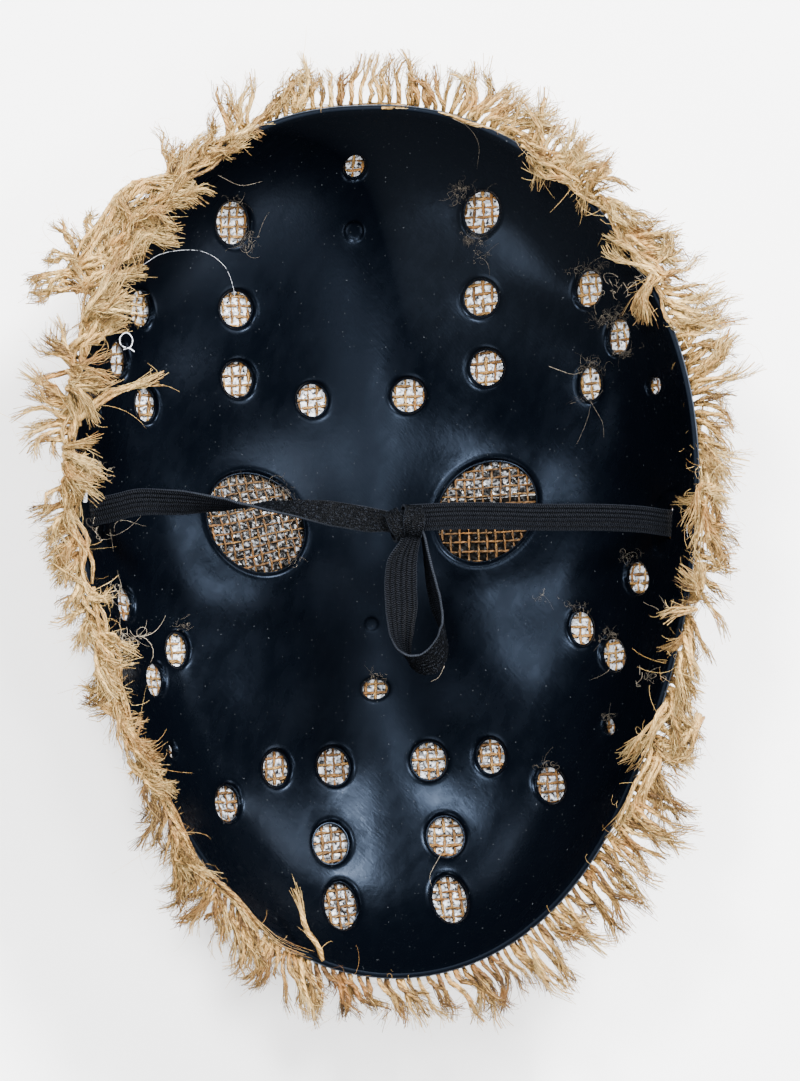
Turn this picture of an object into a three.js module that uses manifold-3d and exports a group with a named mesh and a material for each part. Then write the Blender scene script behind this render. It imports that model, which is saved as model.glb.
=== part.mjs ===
// A face mask lying on its front: a bowl of black plastic pierced with vents and eye holes,
// burlap glued over the outside with its edge frayed round the rim, and an elastic strap
// knotted in the middle. Millimetres, +Z up; X is the wearer's left to right, +Y the forehead.
// The origin is on the surface below the mask, at the middle of its width and length.
import * as THREE from 'three';
import { ParametricGeometry } from 'three/addons/geometries/ParametricGeometry.js';
import * as BufferGeometryUtils from 'three/addons/utils/BufferGeometryUtils.js';
import Module from 'manifold-3d';

const wasm = await Module();
wasm.setup();

// The rim, drawn as a rounded egg: it widens towards the brow and narrows to the chin.
const RIM = {
  halfWidth: 93.3,
  middleY: 3.6,
  crownRise: 128.6,
  chinDrop: 138.1,
  crownPower: 0.815, // below 1 squares off the crown
  chinPower: 1,
  taper: [0.149, -0.047, -0.191], // change of half width with height, its square and its cube
  sideHeight: 67.1, // the rim stands this high beside the eyes
  endDrop: 20, // and is this much lower at crown and chin
};

// The bowl between the middle of the face and the rim.
const BOWL = { middleY: 5, floor: 9.3, flatShare: 0.29, wallPower: 9 };

// Swellings of the face: place, half spread and height, mirrored where they are off the middle.
// Negative ones reach down, away from the wearer.
const RELIEF = {
  forehead: { x: 0, y: 50, spreadX: 16, spreadY: 60, height: -7.5 },
  bridge: { x: 0, y: 9, spreadX: 12, spreadY: 10, height: -3.2 },
  nose: { x: 0, y: -31, spreadX: 9, spreadY: 16, height: -4.6 },
  mouth: { x: 0, y: -64, spreadX: 22, spreadY: 20, height: -6.2 },
  eyeSocket: { x: 36.2, y: 7, spreadX: 28.5, spreadY: 15, height: 8 },
  cheek: { x: 40, y: -40, spreadX: 20, spreadY: 20, height: 6 },
  temple: { x: 66, y: 45, spreadX: 16, spreadY: 20, height: 11.5 },
};

const SHELL_WALL = 2;
const GAP = 0.3;
const CLOTH = 1.5;

// Vents: centre, and width and height as seen from straight above. Each is drilled square to the wall.
const PAIRED_VENTS = {
  crown: { x: 39, y: 100.6, wide: 10.7, high: 12.9 },
  upperBrow: { x: 38.6, y: 74.8, wide: 10.7, high: 11.6 },
  brow: { x: 39.2, y: 52.8, wide: 10.4, high: 11.8 },
  middleBrow: { x: 15, y: 45.7, wide: 10.5, high: 10.9 },
  upperTemple: { x: 69.7, y: 74.4, wide: 7, high: 11.2 },
  outerTemple: { x: 77.7, y: 58.9, wide: 5.5, high: 11.3 },
  lowerTemple: { x: 69.8, y: 45.2, wide: 6.5, high: 11 },
  pinTemple: { x: 86.6, y: 42.5, wide: 3.1, high: 5.3 },
  outerCheek: { x: 79.5, y: -16.4, wide: 5.3, high: 10.4 },
  middleCheek: { x: 63.6, y: -31.1, wide: 6.8, high: 10.9 },
  lowerCheek: { x: 71.3, y: -39.9, wide: 5.9, high: 10.5 },
  pinCheek: { x: 67.9, y: -62.2, wide: 2.7, high: 5.3 },
  innerLip: { x: 14.9, y: -70.5, wide: 11, high: 12.1 },
  outerLip: { x: 33.8, y: -70.1, wide: 8.8, high: 11.2 },
  jaw: { x: 50.3, y: -79.5, wide: 8.1, high: 11.5 },
  upperChin: { x: 18, y: -94.2, wide: 11.5, high: 12.9 },
  lowerChin: { x: 16.9, y: -113.1, wide: 10.7, high: 14.3 },
};
const MIDDLE_VENTS = {
  crownMiddle: { x: 0, y: 116.6, wide: 6.6, high: 6.6 },
  underNose: { x: 0, y: -46.9, wide: 8.1, high: 6.8 },
};
const EYE = { x: 36.2, y: 7.2, long: 35, short: 29.4, lean: 47 };
const BLIND_DIMPLES = {
  brow: { x: 0, y: 98, wide: 6.2, high: 6.2 },
  noseTip: { x: 0, y: -26.3, wide: 4.3, high: 4.3 },
};
const DIMPLE_DEPTH = 0.8;

// The elastic: flat band, its slots in the side walls, a knot and a loop of spare band.
const BAND = { width: 8.4, thick: 1, height: 51, sag: 1.5, tail: 12 };
const SLOT = { wallPlace: 0.95, long: 10.4, tall: 3, leftY: 12, rightY: 0 };
const RECESS = { radius: 11, depth: 0.6 };
const POCKET = { wallPlace: 0.922, wide: 10, long: 16.5, from: 1, to: 3.8, domeHalf: [11, 16, 2.8] };
const KNOT = { x: 5, y: 4, halfWide: 6.6, halfHigh: 5, halfDeep: 4.2 };

// The frayed edge: how far it reaches past the rim, at equal steps anticlockwise from +X.
const FRINGE = {
  reach: [13, 15, 17, 14, 13.5, 17, 12, 13.5, 15, 11.5, 17, 16],
  tuftCount: 66,
  tipSpread: 7, // between the shortest and the longest tuft
  notch: [8, 3.5], // depth between tufts, deepest and shallowest
  lean: 0.012,
  rootThick: 3.2,
  lift: 3,
  wave: 2.2,
  mostX: 112.5,
  mostY: 150.5,
};

const AROUND = 40;
const RINGS = 8;
const VENT_SIDES = 10;
const PIN_VENT_SIDES = 6;
const EYE_SIDES = 18;
const FRINGE_STEPS = 2 * FRINGE.tuftCount;
const LID = { middle: 55, clear: 90, turnIn: 1 };
const GROUND_BLOCK = 400;

// Point of the rim at an angle: x, y and the height of the wearer's edge.
function rimPoint(angle) {
  const rise = Math.sin(angle);
  const side = Math.cos(angle);
  const power = rise > 0 ? RIM.crownPower : RIM.chinPower;
  const [linear, square, cube] = RIM.taper;
  const width = 1 + linear * rise + square * rise ** 2 + cube * rise ** 3;
  return {
    x: RIM.halfWidth * Math.sign(side) * Math.abs(side) ** power * width,
    y: RIM.middleY + (rise > 0 ? RIM.crownRise : RIM.chinDrop) * rise,
    z: RIM.sideHeight - RIM.endDrop * rise ** 2,
  };
}

// Sum of the swellings at a place of the face.
function reliefHeight(x, y) {
  let height = 0;
  for (const bump of Object.values(RELIEF)) {
    for (const side of bump.x === 0 ? [1] : [1, -1]) {
      const dx = (x - side * bump.x) / bump.spreadX;
      const dy = (y - bump.y) / bump.spreadY;
      height += bump.height * Math.exp(-0.5 * (dx * dx + dy * dy));
    }
  }
  return height;
}

// The wearer's side of the shell: angle round the face, and out from 0, the middle, to 1, the rim.
function innerPoint(angle, out) {
  const edge = rimPoint(angle);
  const x = edge.x * out;
  const y = BOWL.middleY + (edge.y - BOWL.middleY) * out;
  const climb = BOWL.flatShare * out ** 2 + (1 - BOWL.flatShare) * out ** BOWL.wallPower;
  const z = BOWL.floor + (edge.z - BOWL.floor) * climb + (1 - out ** 4) * reliefHeight(x, y);
  return new THREE.Vector3(x, y, z);
}

// Direction square to the wall, away from the wearer.
function outwardNormal(angle, out) {
  const step = 0.004;
  const near = Math.max(out, step);
  const along = innerPoint(angle + step, near).sub(innerPoint(angle - step, near));
  const inner = Math.min(near, 1 - step);
  const across = innerPoint(angle, inner + step).sub(innerPoint(angle, inner - step));
  return along.cross(across).normalize();
}

function wallPoint(angle, out, offset) {
  const normal = out < 1e-6 ? new THREE.Vector3(0, 0, -1) : outwardNormal(angle, out);
  return innerPoint(angle, out).addScaledVector(normal, offset);
}

// Angle and distance out at which the wearer's side passes over x, y.
function findOnFace(x, y) {
  const target = Math.atan2(y - BOWL.middleY, x);
  const bearing = (angle) => {
    const edge = rimPoint(angle);
    return Math.atan2(edge.y - BOWL.middleY, edge.x);
  };
  let low = target - 0.4;
  let high = target + 0.4;
  const miss = (angle) => {
    const difference = bearing(angle) - target;
    return Math.atan2(Math.sin(difference), Math.cos(difference));
  };
  for (let i = 0; i < 40; i += 1) {
    const middle = (low + high) / 2;
    if (miss(middle) < 0) low = middle;
    else high = middle;
  }
  const edge = rimPoint(low);
  const out = Math.hypot(x, y - BOWL.middleY) / Math.hypot(edge.x, edge.y - BOWL.middleY);
  return { angle: low, out };
}

function toManifold(geometry) {
  const bare = geometry.clone();
  bare.deleteAttribute('normal');
  bare.deleteAttribute('uv');
  const merged = BufferGeometryUtils.mergeVertices(bare, 1e-4);
  const corners = merged.index.array;
  const kept = [];
  for (let i = 0; i < corners.length; i += 3) {
    const [a, b, c] = [corners[i], corners[i + 1], corners[i + 2]];
    if (a !== b && b !== c && c !== a) kept.push(a, b, c);
  }
  const vertProperties = Float32Array.from(merged.attributes.position.array);
  const triVerts = Uint32Array.from(kept);
  return new wasm.Manifold(new wasm.Mesh({ numProp: 3, vertProperties, triVerts }));
}

function toGeometry(solid) {
  const mesh = solid.getMesh();
  const geometry = new THREE.BufferGeometry();
  geometry.setAttribute('position', new THREE.BufferAttribute(mesh.vertProperties, 3));
  geometry.setIndex(new THREE.BufferAttribute(mesh.triVerts, 1));
  const flat = geometry.toNonIndexed();
  flat.computeVertexNormals();
  return flat;
}

// Rings are closer together towards the rim, where the wall turns up.
function ringPlaces(count) {
  return Array.from({ length: count + 1 }, (_, i) => 1 - (1 - i / count) ** 1.4);
}

// Everything on the wearer's side of an offset from the wall, closed over the open back of the bowl.
// The lid turns in just above the rim, or for a cutter it stands clear of it.
function bowlPlug(offset, isCutter) {
  const places = ringPlaces(RINGS);
  const lidRow = places.length;
  const surface = (u, v, point) => {
    const row = Math.round(v * (lidRow + 1));
    const turn = Math.round(u * AROUND) % AROUND;
    const angle = (turn / AROUND) * 2 * Math.PI - Math.PI / 2;
    if (row < lidRow) point.copy(wallPoint(angle, places[row], offset));
    else if (row > lidRow) point.set(0, BOWL.middleY, isCutter ? LID.clear : LID.middle);
    else if (isCutter) point.copy(wallPoint(angle, 1, offset)).setZ(LID.clear);
    else point.copy(wallPoint(angle, 1, -LID.turnIn));
  };
  return toManifold(new ParametricGeometry(surface, AROUND, lidRow + 1));
}

// A skin of even thickness, from one offset from the wearer's side to the other.
function bowlSkin(nearOffset, farOffset) {
  return bowlPlug(farOffset, false).subtract(bowlPlug(nearOffset, true));
}

// Axes lying in the wall whose shadows on the ground are unit steps along X and Y, and the normal.
function wallAxes(x, y) {
  const { angle, out } = findOnFace(x, y);
  const normal = outwardNormal(angle, out);
  return {
    place: innerPoint(angle, out),
    alongX: new THREE.Vector3(1, 0, -normal.x / normal.z),
    alongY: new THREE.Vector3(0, 1, -normal.y / normal.z),
    normal,
  };
}

// A round drill square to the wall; depth 0 goes right through.
function drill({ x, y, wide, high, lean = 0 }, sides, depth = 0) {
  const { place, alongX, alongY, normal } = wallAxes(x, y);
  const turn = THREE.MathUtils.degToRad(lean);
  const first = alongX.clone().multiplyScalar(Math.cos(turn)).addScaledVector(alongY, Math.sin(turn));
  const second = alongY.clone().multiplyScalar(Math.cos(turn)).addScaledVector(alongX, -Math.sin(turn));
  const below = depth === 0 ? 3 * SHELL_WALL : depth;
  const above = 2 * SHELL_WALL;
  const matrix = new THREE.Matrix4().makeBasis(
    first.multiplyScalar(wide / 2),
    normal.clone().multiplyScalar(-(below + above)),
    second.multiplyScalar(-high / 2),
  );
  matrix.setPosition(place.addScaledVector(normal, (below - above) / 2));
  return toManifold(new THREE.CylinderGeometry(1, 1, 1, sides).applyMatrix4(matrix));
}

const ventSides = (vent) => (vent.wide < 4 ? PIN_VENT_SIDES : VENT_SIDES);

// Angle round the face at which the wall, at a place out from the middle, passes a given y.
function sideAngle(side, y, out) {
  const rise = ((y - BOWL.middleY) / out + BOWL.middleY - RIM.middleY) / RIM.crownRise;
  const angle = Math.asin(rise);
  return side > 0 ? angle : Math.PI - angle;
}

// Place on a side wall with axes along Y, up the wall, and out through it.
function wallMatrix(side, y, out, offset) {
  const angle = sideAngle(side, y, out);
  const normal = outwardNormal(angle, out);
  const up = new THREE.Vector3().crossVectors(normal, new THREE.Vector3(0, 1, 0)).normalize();
  up.multiplyScalar(Math.sign(up.z));
  const along = new THREE.Vector3().crossVectors(up, normal);
  const matrix = new THREE.Matrix4().makeBasis(along, up, normal);
  return matrix.setPosition(wallPoint(angle, out, offset));
}

function slotCutter(side, y) {
  const depth = 4 * SHELL_WALL;
  const box = new THREE.BoxGeometry(SLOT.long, SLOT.tall, depth);
  return toManifold(box.applyMatrix4(wallMatrix(side, y, SLOT.wallPlace, SHELL_WALL / 2)));
}

function recessCutter(side, y) {
  const reach = 8;
  const disc = new THREE.CylinderGeometry(RECESS.radius, RECESS.radius, reach, EYE_SIDES).rotateX(Math.PI / 2);
  const offset = RECESS.depth - reach / 2;
  return toManifold(disc.applyMatrix4(wallMatrix(side, y, SLOT.wallPlace, offset)));
}

const SIDES = [
  { side: -1, y: SLOT.leftY },
  { side: 1, y: SLOT.rightY },
];

function makeShell() {
  let solid = bowlSkin(0, SHELL_WALL);
  for (const vent of Object.values(PAIRED_VENTS)) {
    for (const side of [1, -1]) solid = solid.subtract(drill({ ...vent, x: side * vent.x }, ventSides(vent)));
  }
  for (const vent of Object.values(MIDDLE_VENTS)) solid = solid.subtract(drill(vent, VENT_SIDES));
  for (const side of [1, -1]) {
    const eye = { x: side * EYE.x, y: EYE.y, wide: EYE.long, high: EYE.short, lean: side * EYE.lean };
    solid = solid.subtract(drill(eye, EYE_SIDES));
  }
  for (const dimple of Object.values(BLIND_DIMPLES)) {
    solid = solid.subtract(drill(dimple, VENT_SIDES, DIMPLE_DEPTH));
  }
  for (const { side, y } of SIDES) {
    solid = solid.subtract(recessCutter(side, y)).subtract(slotCutter(side, y));
  }
  return toGeometry(solid);
}

// How far the frayed edge reaches past the rim, before it parts into tufts.
function fringeCourse(turn) {
  const count = FRINGE.reach.length;
  const place = turn * count;
  const low = Math.floor(place) % count;
  const share = (1 - Math.cos((place - Math.floor(place)) * Math.PI)) / 2;
  return FRINGE.reach[low] * (1 - share) + FRINGE.reach[(low + 1) % count] * share;
}

// Reach and lean of one step of the edge: every other step is a tuft's tip, the rest are notches.
function fringeStep(step) {
  const course = fringeCourse(step / FRINGE_STEPS);
  const uneven = 0.5 + 0.5 * Math.sin(step * 2.4) * Math.cos(step * 1.1);
  const [deep, shallow] = FRINGE.notch;
  if (step % 2 === 1) return { reach: course - shallow - (deep - shallow) * uneven, lean: 0 };
  return { reach: course + FRINGE.tipSpread * (uneven - 0.5), lean: FRINGE.lean * Math.sin(step * 1.7) };
}

function fringeRing() {
  const surface = (u, v, point) => {
    const step = Math.round(u * FRINGE_STEPS) % FRINGE_STEPS;
    const angle = (step / FRINGE_STEPS) * 2 * Math.PI;
    const corner = Math.round(v * 3) % 3;
    const normal = outwardNormal(angle, 1);
    const sideways = new THREE.Vector3(normal.x, normal.y, 0).normalize();
    point.copy(wallPoint(angle, 1, SHELL_WALL + GAP + CLOTH / 2));
    if (corner === 0) point.z -= FRINGE.rootThick;
    if (corner !== 1) return;
    const { reach, lean } = fringeStep(step);
    point.addScaledVector(sideways, reach);
    point.applyAxisAngle(new THREE.Vector3(0, 0, 1), lean);
    point.x = THREE.MathUtils.clamp(point.x, -FRINGE.mostX, FRINGE.mostX);
    point.y = THREE.MathUtils.clamp(point.y, -FRINGE.mostY, FRINGE.mostY);
    point.z += FRINGE.lift + FRINGE.wave * Math.sin(3 * angle) - FRINGE.rootThick / 2;
  };
  return toManifold(new ParametricGeometry(surface, FRINGE_STEPS, 3));
}

function makeCover() {
  let solid = bowlPlug(SHELL_WALL + GAP + CLOTH, false);
  for (const { side, y } of SIDES) {
    const dome = new THREE.SphereGeometry(1, 14, 8).scale(...POCKET.domeHalf);
    dome.applyMatrix4(wallMatrix(side, y, POCKET.wallPlace, SHELL_WALL + GAP + CLOTH / 2));
    solid = solid.add(toManifold(dome));
  }
  solid = solid.subtract(bowlPlug(SHELL_WALL + GAP, true));
  for (const { side, y } of SIDES) {
    const pocket = new THREE.BoxGeometry(POCKET.wide, POCKET.long, POCKET.to - POCKET.from);
    pocket.applyMatrix4(wallMatrix(side, y, POCKET.wallPlace, (POCKET.to + POCKET.from) / 2));
    solid = solid.subtract(toManifold(pocket));
  }
  const ground = new THREE.BoxGeometry(GROUND_BLOCK, GROUND_BLOCK, GROUND_BLOCK);
  ground.translate(0, 0, -GROUND_BLOCK / 2);
  return toGeometry(solid.add(fringeRing()).subtract(toManifold(ground)));
}

// A flat band through stations, each a place and the direction from its front edge to its back edge.
function ribbon(stations) {
  const rows = stations.map(({ place, across }, i) => {
    const before = stations[Math.max(i - 1, 0)].place;
    const after = stations[Math.min(i + 1, stations.length - 1)].place;
    const along = after.clone().sub(before).normalize();
    const thick = along.clone().cross(across).normalize();
    const wide = thick.clone().cross(along).normalize();
    return [[1, 1], [-1, 1], [-1, -1], [1, -1]].map(([a, b]) => place.clone()
      .addScaledVector(wide, (a * BAND.width) / 2)
      .addScaledVector(thick, (b * BAND.thick) / 2));
  });
  const last = rows.length + 1;
  const surface = (u, v, point) => {
    const row = Math.round(v * last);
    if (row === 0) point.copy(stations[0].place);
    else if (row === last) point.copy(stations[stations.length - 1].place);
    else point.copy(rows[row - 1][Math.round(u * 4) % 4]);
  };
  return toManifold(new ParametricGeometry(surface, 4, last));
}

// The end of the band at one side: through the slot, then down its pocket outside the wall.
function tailStations(side, y) {
  const across = new THREE.Vector3(0, side < 0 ? 1 : -1, 0);
  const angle = sideAngle(side, y, SLOT.wallPlace);
  const places = [-1, 0.2, SHELL_WALL - 0.2].map((offset) => wallPoint(angle, SLOT.wallPlace, offset));
  const pocket = wallMatrix(side, y, POCKET.wallPlace, 0);
  const exit = wallPoint(angle, SLOT.wallPlace, 0).applyMatrix4(pocket.clone().invert());
  const outside = SHELL_WALL + GAP + BAND.thick / 2;
  for (const drop of [0.9, 2.5, 6, BAND.tail]) {
    places.push(new THREE.Vector3(0, exit.y - drop, outside).applyMatrix4(pocket));
  }
  return places.map((place) => ({ place, across }));
}

function makeStrap() {
  const sagAt = (x) => BAND.height - BAND.sag * (1 - (x / RIM.halfWidth) ** 2);
  const course = [
    [-82, 13.2], [-75, 14.3], [-63, 13.6], [-50.6, 12.5], [-43.6, 11.7], [-32.2, 10.6], [-17, 8],
    [-1.6, 5.1], [5, 4.2], [12.4, 5.3], [24, 5.2], [35.8, 4.5], [48.2, 3.5], [67, 2.5], [79.5, 1.3],
  ];
  const twistStart = -72;
  const twistEnd = -12;
  const middle = course.map(([x, y]) => {
    const share = THREE.MathUtils.clamp((x - twistStart) / (twistEnd - twistStart), 0, 1);
    const turn = share * Math.PI;
    return {
      place: new THREE.Vector3(x, y, sagAt(x)),
      across: new THREE.Vector3(0, Math.cos(turn), Math.sin(turn)),
    };
  });
  const left = tailStations(-1, SLOT.leftY).reverse();
  const right = tailStations(1, SLOT.rightY);
  const loopPath = [
    [5.5, 2, 50, 1, 0, 0],
    [5, -6, 49.5, 1, 0, -0.15],
    [4.5, -17, 48, 1, 0, -0.2],
    [4.3, -28, 46, 0.95, -0.15, -0.3],
    [6.5, -36, 44.2, 0.75, -0.5, -0.45],
    [11.5, -38.3, 43.6, 0.35, -0.65, -0.7],
    [16, -34, 44, 0.1, -0.45, -0.9],
    [17, -26.5, 45, -0.1, -0.15, -1],
    [14.8, -15, 46.5, -0.35, 0, -0.93],
    [11.5, -4, 47.8, -0.4, 0, -0.9],
    [8, 2.5, 49, -0.4, 0, -0.9],
  ];
  const loop = loopPath.map(([x, y, z, ax, ay, az]) => ({
    place: new THREE.Vector3(x, y, z),
    across: new THREE.Vector3(ax, ay, az),
  }));
  const knot = new THREE.SphereGeometry(1, 12, 8)
    .scale(KNOT.halfWide, KNOT.halfHigh, KNOT.halfDeep)
    .rotateZ(THREE.MathUtils.degToRad(-12))
    .translate(KNOT.x, KNOT.y, sagAt(KNOT.x));
  return toGeometry(ribbon([...left, ...middle, ...right]).add(ribbon(loop)).add(toManifold(knot)));
}

const plastic = new THREE.MeshStandardMaterial({ color: 0x0a0c12, roughness: 0.35, metalness: 0 });
const burlap = new THREE.MeshStandardMaterial({ color: 0xc79a62, roughness: 0.95, metalness: 0 });
const elastic = new THREE.MeshStandardMaterial({ color: 0x15161a, roughness: 0.85, metalness: 0 });

function namedMesh(name, geometry, material) {
  const mesh = new THREE.Mesh(geometry, material);
  mesh.name = name;
  return mesh;
}

const group = new THREE.Group();
group.add(
  namedMesh('shell', makeShell(), plastic),
  namedMesh('burlap_cover', makeCover(), burlap),
  namedMesh('elastic_strap', makeStrap(), elastic),
);

export default group;
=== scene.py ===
"""The looks of a burlap-covered face mask that lies on its front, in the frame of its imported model.

Sizes are in millimetres: X is the wearer's left to right, Y chin to forehead, Z up to the wearer.
Meshes are turned into metres where they are made.
"""

import itertools
import logging
import math
import zlib
from dataclasses import dataclass, field, replace
from enum import Enum
from functools import cached_property
from typing import ClassVar, Sequence

import bpy
import numpy as np
from mathutils import Matrix
from mathutils.geometry import delaunay_2d_cdt


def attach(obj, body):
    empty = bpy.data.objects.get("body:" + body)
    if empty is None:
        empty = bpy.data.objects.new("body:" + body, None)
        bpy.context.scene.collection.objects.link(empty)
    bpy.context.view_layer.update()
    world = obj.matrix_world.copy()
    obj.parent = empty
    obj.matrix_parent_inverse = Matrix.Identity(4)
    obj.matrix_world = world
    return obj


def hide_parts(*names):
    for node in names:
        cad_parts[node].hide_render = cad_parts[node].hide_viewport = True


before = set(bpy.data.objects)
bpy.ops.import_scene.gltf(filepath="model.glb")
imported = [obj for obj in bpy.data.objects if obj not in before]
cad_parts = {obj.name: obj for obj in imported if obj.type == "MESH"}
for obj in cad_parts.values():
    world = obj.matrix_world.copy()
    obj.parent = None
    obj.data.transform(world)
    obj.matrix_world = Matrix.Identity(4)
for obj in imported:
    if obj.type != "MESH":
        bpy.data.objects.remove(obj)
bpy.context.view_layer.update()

Array = np.ndarray
Random = np.random.Generator
Piece = bpy.types.Object
Pair = tuple[float, float]
Point = tuple[float, float, float]
Colour = tuple[float, float, float]
MM = 0.001
UP = np.array([0.0, 0.0, 1.0])
log = logging.getLogger("mask")


def seeded(piece: str) -> Random:
    """Random numbers that are the same on every run, from a piece's name."""
    return np.random.default_rng(zlib.crc32(piece.encode()))


def unit(vectors: Array) -> Array:
    """The vectors along the last axis, each brought to length 1."""
    return vectors / np.maximum(np.linalg.norm(vectors, axis=-1, keepdims=True), 1e-12)


def smooth_step(value: Array) -> Array:
    """Eases from 0 to 1 as the value goes from 0 to 1."""
    share = np.clip(value, 0, 1)
    return share * share * (3 - 2 * share)


def hump(across: Array, along: Array) -> Array:
    """A round hump, 1 in the middle, at places given as multiples of its spread."""
    return np.exp(-0.5 * (across**2 + along**2))


def spun(x: Array, y: Array, turn: Array | float, centre: Pair) -> tuple[Array, Array]:
    """Places given from a centre, turned about it by radians."""
    cosine, sine = np.cos(turn), np.sin(turn)
    return centre[0] + x * cosine - y * sine, centre[1] + x * sine + y * cosine


def rotation(axis: int, turn: float) -> Array:
    """The matrix of a turn by radians about X, Y or Z, which are axis 0, 1 and 2."""
    first, second = (axis + 1) % 3, (axis + 2) % 3
    matrix = np.eye(3)
    matrix[first, first] = matrix[second, second] = math.cos(turn)
    matrix[first, second], matrix[second, first] = -math.sin(turn), math.sin(turn)
    return matrix


@dataclass(frozen=True)
class Swelling:
    """A rounded rise of the face towards the wearer, or with a negative height away from it."""

    x: float
    y: float
    spread_x: float
    spread_y: float
    height: float


@dataclass(frozen=True)
class FaceForm:
    """The wearer's side of the shell, by the angle round the face and the share out to the rim."""

    half_width: float = 93.3
    middle_y: float = 3.6
    crown_rise: float = 128.6
    chin_drop: float = 138.1
    crown_power: float = 0.815
    taper: Point = (0.149, -0.047, -0.191)
    side_height: float = 67.1
    end_drop: float = 20.0
    bowl_y: float = 5.0
    floor: float = 9.3
    flat_share: float = 0.29
    wall_power: float = 9.0
    step: float = 0.004
    table_points: int = 9001
    swellings: tuple[Swelling, ...] = (
        Swelling(0, 50, 16, 60, -7.5), Swelling(0, 9, 12, 10, -3.2), Swelling(0, -31, 9, 16, -4.6),
        Swelling(0, -64, 22, 20, -6.2), Swelling(36.2, 7, 28.5, 15, 8), Swelling(40, -40, 20, 20, 6),
        Swelling(66, 45, 16, 20, 11.5),
    )

    def rim(self, angle: Array) -> Array:
        """The wearer's edge of the rim.

        Args:
            angle: Angles round the face, in radians, from +X towards +Y.

        Returns:
            Points, with x, y and z along the last axis.
        """
        rise, side = np.sin(angle), np.cos(angle)
        linear, square, cube = self.taper
        width = 1 + linear * rise + square * rise**2 + cube * rise**3
        power = np.where(rise > 0, self.crown_power, 1.0)
        x = self.half_width * np.sign(side) * np.abs(side) ** power * width
        y = self.middle_y + np.where(rise > 0, self.crown_rise, self.chin_drop) * rise
        return np.stack([x, y, self.side_height - self.end_drop * rise**2], axis=-1)

    def relief(self, x: Array, y: Array) -> Array:
        """The sum of the swellings at places of the face."""
        height = np.zeros_like(x)
        for bump in self.swellings:
            for side in (1, -1) if bump.x else (1,):
                across = (x - side * bump.x) / bump.spread_x
                along = (y - bump.y) / bump.spread_y
                height = height + bump.height * hump(across, along)
        return height

    def climb(self, out: Array) -> Array:
        """The share of the bowl's height that is reached at a share out to the rim."""
        return self.flat_share * out**2 + (1 - self.flat_share) * out**self.wall_power

    def inner(self, angle: Array, out: Array) -> Array:
        """Points of the wearer's side.

        Args:
            angle: Angles round the face, in radians.
            out: Shares from 0, the middle, to 1, the rim.

        Returns:
            Points, with x, y and z along the last axis.
        """
        edge = self.rim(angle)
        x = edge[..., 0] * out
        y = self.bowl_y + (edge[..., 1] - self.bowl_y) * out
        z = self.floor + (edge[..., 2] - self.floor) * self.climb(out)
        return np.stack([x, y, z + (1 - out**4) * self.relief(x, y)], axis=-1)

    def outward(self, angle: Array, out: Array) -> Array:
        """Unit vectors square to the wall, away from the wearer.

        Args:
            angle: Angles round the face, in radians.
            out: Shares out to the rim.

        Returns:
            Vectors, with x, y and z along the last axis.
        """
        near = np.clip(out, self.step, 1.0)
        within = np.minimum(near, 1 - self.step)
        along = self.inner(angle + self.step, near) - self.inner(angle - self.step, near)
        across = self.inner(angle, within + self.step) - self.inner(angle, within - self.step)
        return unit(np.cross(along, across))

    def wall(self, angle: Array, out: Array, offset: Array | float) -> Array:
        """Points at a distance outside the wearer's side, measured square to the wall."""
        return self.inner(angle, out) + self.outward(angle, out) * np.asarray(offset)[..., None]

    @cached_property
    def bearings(self) -> tuple[Array, Array]:
        """A table of the bearing from the bowl's middle at which each angle's rim point lies."""
        angle = np.linspace(-1.2 * math.pi, 1.2 * math.pi, self.table_points)
        edge = self.rim(angle)
        bearing = np.unwrap(np.arctan2(edge[:, 1] - self.bowl_y, edge[:, 0]))
        turns = round((angle[0] - bearing[0]) / (2 * math.pi))
        return bearing + 2 * math.pi * turns, angle

    def at_bearing(self, degrees: Array) -> Array:
        """The angles of the rim points at bearings from the bowl's middle."""
        return np.interp(np.radians((degrees + 180) % 360 - 180), *self.bearings)

    def locate(self, x: Array, y: Array) -> tuple[Array, Array]:
        """The angle and the share out to the rim of places seen from straight above.

        Args:
            x: Places across the face.
            y: Places along the face.

        Returns:
            The angles in radians, and the shares, which pass 1 outside the rim.
        """
        found = np.interp(np.arctan2(y - self.bowl_y, x), *self.bearings)
        edge = self.rim(found)
        reach = np.hypot(edge[..., 0], edge[..., 1] - self.bowl_y)
        return found, np.hypot(x, y - self.bowl_y) / reach

    def up_wall(self, angle: Array, out: Array) -> Array:
        """Unit vectors that lie in the wall and lead straight out towards the rim."""
        within = np.clip(out, self.step, 1 - self.step)
        return unit(self.inner(angle, within + self.step) - self.inner(angle, within - self.step))


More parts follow.
